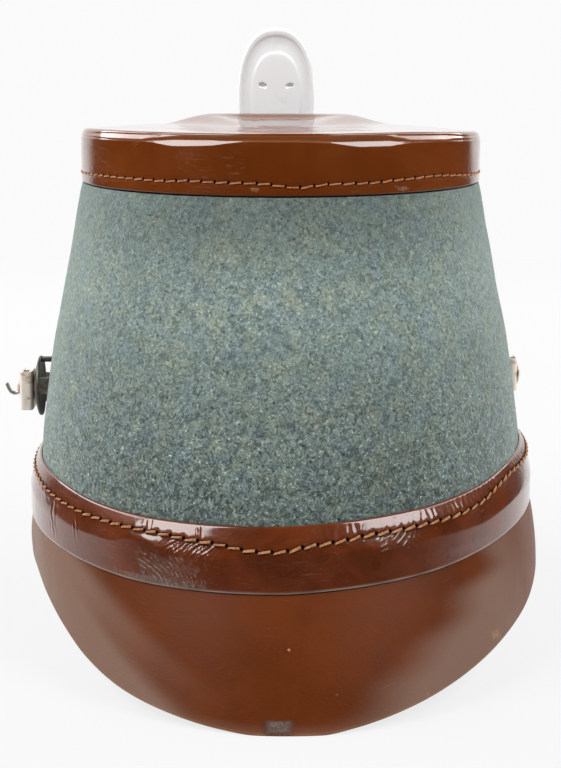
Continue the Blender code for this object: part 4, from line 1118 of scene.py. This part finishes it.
# %% Build the stitch nodes
def build_stitch_nodes():
    tree = bpy.data.node_groups.new("stitch_row", "GeometryNodeTree")
    tree.is_modifier = True
    kinds = {"Line": "Geometry", "Stitches": "Int", "Stitch": "Object", "Hole Shadow": "Object", "Groove Shadow": "Object",
             "Slant": "Float", "Unevenness": "Float", "Thickness": "Float", "Seed": "Int",
             "Thread": "Material", "Shadow": "Material", "Shade": "Material"}
    for name, kind in kinds.items():
        tree.interface.new_socket(name, in_out="INPUT", socket_type="NodeSocket" + kind)
    tree.interface.new_socket("Row", in_out="OUTPUT", socket_type="NodeSocketGeometry")
    given = tree.nodes.new("NodeGroupInput").outputs
    result = tree.nodes.new("NodeGroupOutput").inputs

    def made(kind, inputs=None, output=0, **settings):
        return add_node(tree, kind, inputs, **settings).outputs[output]

    curve = made("GeometryNodeMeshToCurve", {0: given["Line"]})
    spots = made("GeometryNodeResampleCurve", {"Curve": curve, "Count": product(tree, given["Stitches"], 2.0)})
    outward = made("GeometryNodeInputNamedAttribute", {"Name": "outward"}, data_type="FLOAT_VECTOR")
    tangent, index = made("GeometryNodeInputTangent"), made("GeometryNodeInputIndex")
    facing = made("FunctionNodeAlignRotationToVector", {"Vector": outward}, axis="Z")
    lying = made("FunctionNodeAlignRotationToVector", {"Rotation": facing, "Vector": tangent},
                 axis="X", pivot_axis="Z")
    odd = calculate(tree, "MODULO", index, 2.0)
    even = calculate(tree, "SUBTRACT", 1.0, odd)
    sway, swell = (made("FunctionNodeRandomValue", {2: low, 3: high, "Seed": given["Seed"]}, 1, data_type="FLOAT")
                   for low, high in ((-1.0, 1.0), (0.85, 1.2)))
    sway = calculate(tree, "MULTIPLY_ADD", sway, given["Unevenness"], given["Slant"])
    slanted = made("FunctionNodeAxisAngleToRotation", {"Axis": (0, 0, 1), "Angle": sway})
    turned = made("FunctionNodeRotateRotation", {"Rotation": lying, "Rotate By": slanted}, rotation_space="LOCAL")
    swell = product(tree, swell, given["Thickness"])
    even_scale = made("ShaderNodeCombineXYZ", {0: 1.0, 1: 1.0, 2: 1.0})
    thread_scale = made("ShaderNodeCombineXYZ", {0: 1.0, 1: swell, 2: swell})
    finished = []
    for chosen, thing, turn, scale, finish in (
            (odd, "Stitch", turned, thread_scale, "Thread"), (even, "Hole Shadow", lying, even_scale, "Shadow"),
            (odd, "Groove Shadow", turned, even_scale, "Shade")):
        shape = made("GeometryNodeObjectInfo", {"Object": given[thing], "As Instance": True}, "Geometry")
        many = made("GeometryNodeInstanceOnPoints", {"Points": spots, "Selection": chosen, "Instance": shape,
                                                     "Rotation": turn, "Scale": scale})
        real = made("GeometryNodeRealizeInstances", {0: many})
        finished.append(made("GeometryNodeSetMaterial", {"Geometry": real, "Material": given[finish]}))
    joined = tree.nodes.new("GeometryNodeJoinGeometry")
    for part in finished:
        tree.links.new(part, joined.inputs[0])
    tree.links.new(joined.outputs[0], result[0])
    return tree


stitch_nodes = build_stitch_nodes()


def plain_mesh(name, source):
    """What an object looks like with its modifiers, as a plain mesh object; the source goes."""
    bpy.context.view_layer.update()
    mesh = bpy.data.meshes.new_from_object(source.evaluated_get(bpy.context.evaluated_depsgraph_get()))
    mesh.name = name
    thing = placed(name, mesh)
    bpy.data.objects.remove(source)
    return thing


def stitch_row(name, points, outward, values):
    """A row of stitches round a closed line in hat millimetres; values are the stitch nodes' inputs."""
    count = len(points)
    mesh = bpy.data.meshes.new(name + "_line")
    mesh.from_pydata(to_frame(points).tolist(), [(n, (n + 1) % count) for n in range(count)], [])
    mesh.attributes.new("outward", "FLOAT_VECTOR", "POINT").data.foreach_set(
        "vector", np.asarray(outward, np.float32).ravel())
    line = placed(name + "_line", mesh)
    modifier = line.modifiers.new("stitches", "NODES")
    modifier.node_group = stitch_nodes
    values = {"Stitch": stitch_thread, "Unevenness": 0.04, "Shadow": hole_shadow, "Shade": groove_shade, **values}
    for socket in stitch_nodes.interface.items_tree:
        if socket.in_out == "INPUT" and socket.name in values:
            modifier[socket.identifier] = values[socket.name]
    row = plain_mesh(name, line)
    print(f"{name}: {values['Stitches']} stitches, {len(row.data.polygons)} faces")
    return row


# %% [markdown]
# ## Sew the top and the band
# The top's thread is lighter than the band's. The first point of each line is a needle hole, with its
# painted shadow, as it is in the leather's own dimples.

# %% Make both rows of stitches
THREAD_SUNK = 0.05          # how far the stitches' middle line lies under the leather's face

top_normal = raised(oval_point(around_top, *TOP_OVAL)[1], 0.0)
top_row = stitch_row("top_stitches", top_line - top_normal * THREAD_SUNK, top_normal, {
    "Stitches": top_stitches, "Slant": TOP_SLANT, "Seed": 3, "Thread": thread, "Thickness": 0.66, "Hole Shadow": top_hole_shadow})
dress(top_row, thread, "top_leather")

band_step = band_outside(around_band, band_line_height - 0.4) - band_outside(around_band, band_line_height + 1.6)
band_normal = crown_point(around_band, band_line_height)[1] + np.array([0, 0, 1.0]) * (band_step / 2)[:, None]
band_normal /= np.linalg.norm(band_normal, axis=1, keepdims=True)
band_row = stitch_row("band_stitches", band_line - band_normal * THREAD_SUNK, band_normal, {
    "Stitches": band_stitches, "Slant": BAND_SLANT, "Seed": 8, "Thread": band_thread, "Thickness": 1.0,
    "Hole Shadow": band_hole_shadow, "Groove Shadow": groove_shadow_patch})
dress(band_row, band_thread, "band_leather")
for guide in (stitch_thread, top_hole_shadow, band_hole_shadow, groove_shadow_patch):
    bpy.data.objects.remove(guide)

# %% [markdown]
# ## The oval badge
# The badge stands up in front of the crown, and from behind only its plain back shows: a rolled rim, a
# channel inside it and a flat field with two slots for the wire that holds it. The front is a plain ridged
# oval. It is made as ovals drawn smaller and smaller; the slots are cut with a Boolean modifier, which is
# applied at once. Their lining is near-white, a painted light that lifts them out of their shade.

# %% Make the badge
BADGE_HALF_WIDTH, BADGE_HALF_HEIGHT, BADGE_CENTRE, BADGE_BACK, BADGE_POWER = 15.7, 28.3, 190.2, -85.0, 2.35
BADGE_SECTION = [  # place along the section, share of the outline, depth forwards of the back
    (0, 0.04, 0.0), (1, 0.45, 0.05), (2, 0.62, 0.15), (3, 0.68, 0.75), (4, 0.78, 0.95), (5, 0.86, 0.75),
    (6, 0.91, 0.15), (7, 0.955, 0.0), (8, 0.99, 0.45), (9, 1.0, 1.2), (10, 0.99, 2.1), (11, 0.95, 3.0),
    (12, 0.90, 3.5), (13, 0.84, 3.3), (14, 0.80, 3.6), (15, 0.74, 4.3), (16, 0.68, 4.3), (17, 0.62, 4.9),
    (18, 0.45, 5.4), (19, 0.04, 5.6),
]
BADGE_THICKNESS = 5.6
SLOT_OFF, SLOT_HEIGHT, SLOT_HALF_WIDTH, SLOT_HALF_HEIGHT = 5.5, 195.5, 1.5, 0.7


def upright_oval(x, y, z, half_width, half_height, turn, fullness):
    """A ring that stands upright across the hat, round a middle point."""
    return np.stack([x + half_width * power(np.sin(turn), fullness), np.full(len(turn), y),
                     z + half_height * power(np.cos(turn), fullness)], 1)


def make_badge():
    turn = np.linspace(0, 2 * np.pi, 112, endpoint=False)
    rings = []
    for place in np.linspace(0, 19, 77):
        share, depth = (float(smooth_column(BADGE_SECTION, column, place)) for column in (1, 2))
        rings.append(upright_oval(0, BADGE_BACK - depth, BADGE_CENTRE, share * BADGE_HALF_WIDTH,
                                  share * BADGE_HALF_HEIGHT, turn, 2 / BADGE_POWER))
    badge = lidded("badge_blank", rings, (0, BADGE_BACK, BADGE_CENTRE), (0, BADGE_BACK - BADGE_THICKNESS, BADGE_CENTRE))
    badge.data.materials.append(badge_paint)
    # the slots' near-white lining is painted light in their shade
    badge.data.materials.append(slot_painted_light)
    cutters = []
    for x in (-SLOT_OFF, SLOT_OFF):
        slot_rings = [upright_oval(x, BADGE_BACK + depth, SLOT_HEIGHT, SLOT_HALF_WIDTH * size,
                                   SLOT_HALF_HEIGHT * size, turn[::7], 0.7)
                      for depth, size in ((-1.6, 0.9), (-1.2, 1.0), (2.0, 1.0))]
        cutter = lidded("slot_cutter", slot_rings, (x, BADGE_BACK - 1.7, SLOT_HEIGHT),
                        (x, BADGE_BACK + 2.0, SLOT_HEIGHT))
        cutter.data.materials.append(slot_painted_light)
        cut = badge.modifiers.new("slot", "BOOLEAN")
        cut.operation, cut.solver, cut.object = "DIFFERENCE", "EXACT", cutter
        cutters.append(cutter)
    badge = plain_mesh("badge_plate", badge)
    for cutter in cutters:
        bpy.data.objects.remove(cutter)
    return badge


dress(make_badge(), badge_paint, "badge_metal", "oval_badge")

# %% [markdown]
# ## Posts, disc and lugs
# A turned post is riveted through the felt on each side, and the strap's metal ends hang on it. Turned
# shapes are rings round an axis; the folded lugs are a bent plate. Small steps in the tables break their
# edges, because a metal edge that catches no light looks false.

# %% Turned pieces
POST_Y, POST_RADIUS = -12.0, 2.2
PIN_RADIUS, PIN_HEIGHT, PIN_START, PIN_END = 1.5, 172.0, -86.0, -75.5
LEFT_POST_HEIGHT, RIGHT_POST_HEIGHT = 83.9, 88.3
LEFT_POST = [  # distance out from the middle plane, radius
    (80.5, 3.9), (80.7, 4.0), (81.3, 4.0), (81.5, 3.8), (81.5, 2.2), (86.6, 2.2), (86.6, 3.0), (86.8, 3.2),
    (91.2, 3.2), (91.4, 3.0), (91.4, 2.2), (98.6, 2.2), (98.6, 3.2), (98.8, 3.4), (99.1, 3.35), (99.4, 2.6),
]
RIGHT_POST = [
    (79.9, 3.9), (80.1, 4.0), (80.7, 4.0), (80.9, 3.8), (80.9, 2.2), (90.2, 2.2), (90.2, 4.0), (90.4, 4.2),
    (90.8, 3.9), (91.1, 3.0), (91.2, 1.6),
]
HOOK_RADIUS = 0.72
HOOK = [  # distance out, height above the post's middle
    (98.9, -2.2), (100.5, -2.9), (101.9, -2.4), (102.9, -0.9), (103.6, 1.1),
]


def turned_piece(name, side, height, rows):
    """Rings round an axis along x."""
    turn = np.linspace(0, 2 * np.pi, 40, endpoint=False)
    rings = [np.stack([np.full(40, side * reach), POST_Y + radius * np.cos(turn), height + radius * np.sin(turn)], 1)
             for reach, radius in rows]
    return lidded(name, rings, (side * rows[0][0], POST_Y, height), (side * rows[-1][0], POST_Y, height))


def smooth_path(points, steps):
    """More points along a path, smoothly through the given ones."""
    rows = np.column_stack([np.arange(len(points)), points])
    at = np.linspace(0, len(points) - 1, steps)
    return np.stack([smooth_column(rows, column, at) for column in range(1, rows.shape[1])], 1)


for name, side, height, rows, node in (("left_turned_post", 1, LEFT_POST_HEIGHT, LEFT_POST, "left_post"),
                                       ("right_turned_post", -1, RIGHT_POST_HEIGHT, RIGHT_POST, "right_post")):
    dress(turned_piece(name, side, height, rows), pale_brass, "pale_brass", node)

hook_path = smooth_path([(reach, POST_Y, LEFT_POST_HEIGHT + rise) for reach, rise in HOOK], 22)
hook_rings = tube(hook_path, HOOK_RADIUS, 14)
hook_rings[-1] = hook_path[-1] + (hook_rings[-1] - hook_path[-1]) * 0.55
dress(lidded("left_hook", hook_rings, hook_path[0], hook_path[-1]), hook_metal, "pale_brass")

pin_turn = np.linspace(0, 2 * np.pi, 20, endpoint=False)
pin_rings = [np.stack([PIN_RADIUS * scale * np.cos(pin_turn), np.full(20, y),
                       PIN_HEIGHT + PIN_RADIUS * scale * np.sin(pin_turn)], 1)
             for y, scale in ((PIN_START, 1.0), (PIN_END - 0.3, 1.0), (PIN_END, 0.8))]
dress(lidded("badge_pin", pin_rings, (0, PIN_START, PIN_HEIGHT), (0, PIN_END, PIN_HEIGHT)), pale_brass, "badge_metal")

# %% [markdown]
# The disc is a shallow dish that bows away from the felt, with a small tab bent in at the top. The tab is
# part of the same sheet, so the two overlap and share one finish.

# %% The dished disc
DISC_RADIUS, DISC_WALL, DISC_REACH, DISC_DISH = 11.3, 1.1, 91.9, 2.0
TAB_START, TAB_END, TAB_HALF_WIDTH = 84.8, 90.6, 1.6


def rounded_box(name, low, high):
    """A box with softened edges, in hat millimetres."""
    made = bmesh.new()
    bmesh.ops.create_cube(made, size=1.0)
    low, high = to_frame(low), to_frame(high)
    for vertex in made.verts:
        vertex.co = Vector([low[n] if vertex.co[n] < 0 else high[n] for n in range(3)])
    bmesh.ops.bevel(made, geom=made.edges[:], offset=0.3 * MM, segments=3, profile=0.5, affect="EDGES")
    bmesh.ops.recalc_face_normals(made, faces=made.faces)
    mesh = bpy.data.meshes.new(name)
    made.to_mesh(mesh)
    made.free()
    mesh.shade_smooth()
    mesh.set_sharp_from_angle(angle=np.radians(SHARP_ANGLE))
    return placed(name, mesh)


def make_disc():
    turn = np.linspace(0, 2 * np.pi, 72, endpoint=False)
    radii = np.array([POST_RADIUS + GAP, 4.0, 6.0, 8.0, 9.6, 10.6, 11.1, DISC_RADIUS])
    reach = DISC_REACH - DISC_DISH * (radii / DISC_RADIUS) ** 2
    inner_face = list(zip(radii[:-1], reach[:-1]))
    edge = [(DISC_RADIUS, reach[-1] + 0.35), (DISC_RADIUS, reach[-1] + 0.8)]
    profile = inner_face + edge + [(r, x + DISC_WALL) for r, x in inner_face[::-1]]
    sections = [[(x, POST_Y + r * np.cos(t), LEFT_POST_HEIGHT + r * np.sin(t)) for r, x in profile] for t in turn]
    return shell("left_disc", sections)


dress(make_disc(), dark_metal, "dark_metal", "side_disc")
disc_top = LEFT_POST_HEIGHT + DISC_RADIUS
dress(rounded_box("disc_tab", (TAB_START, POST_Y - TAB_HALF_WIDTH, disc_top - 2.0),
                  (TAB_END, POST_Y + TAB_HALF_WIDTH, disc_top - 0.3)), dark_metal, "dark_metal")

# %% [markdown]
# Each lug is a strip of sheet metal folded round the strap's end. In plan it is a U that opens forwards.

# %% The folded lugs
LEFT_LUG = (93.3, 94.6, 97.0, 98.3, 7.3, 1.3)        # inner face, slot's two faces, outer face, half height, drop
RIGHT_LUG = (86.7, 87.2, 89.5, 89.9, 6.2, 0.2)
LUG_BACK, LUG_SLOT_BACK, LUG_FRONT = -7.0, -8.1, -17.0


def make_lug(name, side, sizes, height):
    inner, slot_inner, slot_outer, outer, half_height, drop = sizes
    middle = (inner + outer) / 2
    steps = np.linspace(0, np.pi, 9)
    bend = min(1.4, (outer - inner) / 2 - 0.05)
    back = [(outer - bend + bend * np.cos(t / 2), LUG_BACK - bend + bend * np.sin(t / 2)) for t in steps]
    front = [(inner + bend - bend * np.sin(t / 2), LUG_BACK - bend + bend * np.cos(t / 2)) for t in steps]
    plan = [(inner, LUG_FRONT), (slot_inner, LUG_FRONT), (slot_inner, LUG_SLOT_BACK), (middle, LUG_SLOT_BACK + 0.3),
            (slot_outer, LUG_SLOT_BACK), (slot_outer, LUG_FRONT), (outer, LUG_FRONT)] + back + front
    sections = []
    for rise, shrink in ((-half_height, 0.14), (0.25 - half_height, 0.0),
                         (half_height - 0.25, 0.0), (half_height, 0.14)):
        sections.append([(side * (x + shrink * np.sign(middle - x)), y + shrink * (0.5 if y < POST_Y else -0.5),
                          height - drop + rise) for x, y in plan])
    return shell(name, sections, closed=False)


for name, side, sizes, height, node in (("left_strap_lug", 1, LEFT_LUG, LEFT_POST_HEIGHT, "left_lug"),
                                        ("right_strap_lug", -1, RIGHT_LUG, RIGHT_POST_HEIGHT, "right_lug")):
    dress(make_lug(name, side, sizes, height), pale_brass, "pale_brass", node)

# %% [markdown]
# ## The chin strap
# The strap is worn up, round the front over the band. It is a plain leather ribbon whose section has
# rounded edges and a creased line near each edge, carried along a path that rises to the posts.

# %% Make the chin strap
STRAP_WIDTH, STRAP_WALL = 12.0, 1.5
STRAP_FRONT, STRAP_FRONT_HEIGHT, STRAP_END, STRAP_POWER = 107.8, 62.0, -8.6, 2.15


def make_strap():
    turned = np.radians(np.linspace(90, -90, 221))
    half_width, post_height = (np.where(turned >= 0, *pair) for pair in (
        [(lug[1] + lug[2]) / 2 for lug in (LEFT_LUG, RIGHT_LUG)], (LEFT_POST_HEIGHT, RIGHT_POST_HEIGHT)))
    x = half_width * power(np.sin(turned), 2 / STRAP_POWER)
    y = POST_Y - (STRAP_FRONT + POST_Y) * power(np.maximum(np.cos(turned), 0), 2 / STRAP_POWER)
    z = STRAP_FRONT_HEIGHT + (post_height - STRAP_FRONT_HEIGHT) * (1 - np.cos(turned))
    path = np.concatenate([[[x[0], STRAP_END, z[0]]], np.stack([x, y, z], 1), [[x[-1], STRAP_END, z[-1]]]])
    along = np.gradient(path, axis=0)
    out = np.stack([along[:, 1], -along[:, 0], np.zeros(len(path))], 1)
    out /= np.linalg.norm(out, axis=1, keepdims=True)
    out *= np.sign((out * (path - [0, POST_Y + 8, 0])).sum(1))[:, None]
    half, wall, crease = STRAP_WIDTH / 2, STRAP_WALL / 2, 0.16
    side = [(-half + 0.5, -wall), (-half + 0.1, -wall + 0.2), (-half, 0.0), (-half + 0.1, wall - 0.25),
            (-half + 0.5, wall), (-half + 0.95, wall), (-half + 1.3, wall - crease), (-half + 1.65, wall),
            (-half * 0.4, wall + 0.05)]
    outline = np.array(side + [(0, wall + 0.07)] + [(-up, off) for up, off in side[::-1]] + [(0, -wall)])
    rise = outline[None, :, :1] * np.array([0, 0, 1.0])
    strap = shell("leather_chin_strap", path[:, None] + rise + outline[None, :, 1:] * out[:, None], closed=False)
    paint(strap, "wear_and_painted_highlight", np.tile([0.6, 0.7, 0.7, 0.6, 0.3] + [0.0] * 9 + [0.3, 0.6, 0.7, 0.7, 0.6, 0.0], len(path)))
    print("strap length in mm:", round(float(np.linalg.norm(np.diff(path, axis=0), axis=1).sum())))
    return strap


dress(make_strap(), strap_leather, "strap_leather", "chin_strap")

# %% [markdown]
# ## The studio
# A pale table, a white surround and soft lights. Lacquer shows what stands round it, so the surround is
# white on the far side of the hat and dim on the camera's side, as in a studio: that is what leaves the
# leather dark in the middle and pale at its edges. Only the surround's camera view is plain white. The
# lacquer doesn't mirror the table: a sheet laid on it, which only mirrors see, is dark on the camera's
# side and white beside and beyond the hat.

# %% Table and surround
TABLE_RADIUS, WHITE = 1.2, (1.0, 1.0, 1.0, 1)


def level_sheet(name, corners, face, material):
    """A flat face in frame metres."""
    mesh = bpy.data.meshes.new(name)
    mesh.from_pydata(corners, [], [face])
    mesh.materials.append(material)
    return placed(name, mesh)


table_paint, tree, shader = blank_material("white_table", Roughness=0.8, Specular_IOR_Level=0.1,
                                           Base_Color=(0.08, 0.08, 0.08, 1), Emission_Color=WHITE)
from_middle = vector_math(tree, "LENGTH", own_place(tree))
give(tree, shader.inputs, {"Emission Strength": between(tree, from_middle, 0.35, 0.9, 0.79, 0.818)})
edge = np.linspace(0, 2 * np.pi, 160, endpoint=False)
table = level_sheet("table", [(TABLE_RADIUS * np.cos(t), TABLE_RADIUS * np.sin(t), 0.0) for t in edge],
                    list(range(len(edge))), table_paint)
table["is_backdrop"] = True
table.visible_glossy = False
sheet_paint, tree, shader = blank_material("mirrored_white", Roughness=0.8, Specular_IOR_Level=0.1,
                                           Base_Color=(0.05, 0.05, 0.05, 1), Emission_Color=WHITE)
along_sheet = add_node(tree, "ShaderNodeSeparateXYZ", {0: own_place(tree)}).outputs[1]
give(tree, shader.inputs, {"Emission Strength": between(tree, along_sheet, 0.17, 0.04, 0.0, 0.9)})
sheet = level_sheet("mirrored_sheet", [(-0.34, 0.20, 0.0001), (0.34, 0.22, 0.0001), (0.34, -1.2, 0.0001),
                                       (-0.34, -1.2, 0.0001)], [3, 2, 1, 0], sheet_paint)
sheet.visible_camera = sheet.visible_diffuse = sheet.visible_shadow = sheet.visible_transmission = False
sheet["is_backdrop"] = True

world = bpy.data.worlds.new("studio_surround")
world.use_nodes = True
bpy.context.scene.world = world
tree = world.node_tree
tree.nodes.clear()
seen_from = add_node(tree, "ShaderNodeTexCoord").outputs["Generated"]
direction = add_node(tree, "ShaderNodeSeparateXYZ", {0: seen_from}).outputs
lifted = calculate(tree, "MULTIPLY_ADD", direction[2], -0.25, direction[1])
far_side = between(tree, lifted, -0.68, -0.84, 0.01, 1.0)
surround = add_node(tree, "ShaderNodeBackground", {"Color": (1.0, 1.0, 1.0, 1), "Strength": far_side}).outputs[0]
seen = add_node(tree, "ShaderNodeBackground", {"Color": (0.955, 0.96, 0.96, 1), "Strength": 1.0}).outputs[0]
is_seen = add_node(tree, "ShaderNodeLightPath").outputs["Is Camera Ray"]
both = add_node(tree, "ShaderNodeMixShader", {0: is_seen, 1: surround, 2: seen}).outputs[0]
tree.links.new(both, add_node(tree, "ShaderNodeOutputWorld").inputs[0])
print("surround nodes:", len(tree.nodes))

# %% [markdown]
# ## Soft boxes
# Two large soft boxes stand left and right of the camera and above it; their mirror images are the white
# streaks on the ledge and along the band. Two long ones at the sides shine on the bevel, the edges of the
# felt and the peak's corners. Each box is given by the directions of its two ends.

# %% Lights
def direction_to(turn, rise):
    """A direction: degrees round from the camera's side towards the picture's left, and degrees up."""
    turn, rise = np.radians(turn), np.radians(rise)
    return Vector((np.sin(turn) * np.cos(rise), np.cos(turn) * np.cos(rise), np.sin(rise)))


LAMP_DISTANCE = 1.5


def softbox(name, start, end, height, radiance, mirrored):
    """A rectangular light that reaches from one direction to another, facing the hat.

    The lacquer mirrors only a share of its brightness; a second lamp in the same place, that no surface
    mirrors, gives the rest."""
    first, last = direction_to(*start) * LAMP_DISTANCE, direction_to(*end) * LAMP_DISTANCE
    length, middle = (last - first).length, (first + last) / 2
    facing = middle.normalized()
    along = (last - first).normalized()
    across = facing.cross(along)
    for part, share in ((name, mirrored), (name + "_fill", 1 - mirrored)):
        light = bpy.data.lights.new(part, "AREA")
        light.shape, light.size, light.size_y = "RECTANGLE", length, height
        light.energy = np.pi * length * height * radiance * share
        lamp = bpy.data.objects.new(part, light)
        lamp.location = middle + Vector((0, 0, 0.1))
        lamp.rotation_euler = Matrix((along, across, facing)).transposed().to_euler()
        lamp.visible_glossy = part == name
        bpy.context.scene.collection.objects.link(lamp)


softbox("left_softbox", (36, 40), (80, 40), 0.60, 14.0, 0.77)
softbox("right_softbox", (-34, 40), (-78, 40), 0.60, 13.4, 0.77)
softbox("left_side_strip", (84, 44), (133, 21), 0.44, 11.0, 0.62)
softbox("right_side_strip", (-84, 44), (-133, 21), 0.30, 10.5, 0.58)
print("lights:", len(bpy.data.lights))

# %% [markdown]
# ## The camera
# The photograph was taken from about 0.6 m behind the hat and a little above its rim, looking down 10.8
# degrees. The lens follows from how many pixels a known size covers.

# %% Camera
CAMERA_DISTANCE, CAMERA_HEIGHT, CAMERA_TURN, CAMERA_TILT = 600.0, 200.8, np.radians(1.2), np.radians(10.8)
FOCAL_PIXELS, PICTURE_HEIGHT, SENSOR = 1636.0, 768, 36.0

camera_data = bpy.data.cameras.new("camera")
camera_data.sensor_width = SENSOR
camera_data.lens = FOCAL_PIXELS / PICTURE_HEIGHT * SENSOR
camera_data.clip_start = 0.01
camera = bpy.data.objects.new("camera", camera_data)
bpy.context.scene.collection.objects.link(camera)
side, back = np.sin(CAMERA_TURN), np.cos(CAMERA_TURN)
camera.location = to_frame((CAMERA_DISTANCE * side, CAMERA_DISTANCE * back, CAMERA_HEIGHT))
looking = Vector((-side * np.cos(CAMERA_TILT), -back * np.cos(CAMERA_TILT), -np.sin(CAMERA_TILT)))
camera.rotation_euler = looking.to_track_quat("-Z", "Y").to_euler()
bpy.context.scene.camera = camera
bpy.context.scene.view_settings.view_transform = "Standard"
print("camera at:", [round(v, 3) for v in camera.location], "lens:", round(camera_data.lens, 1))

# %% Look at the whole thing
low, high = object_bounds()
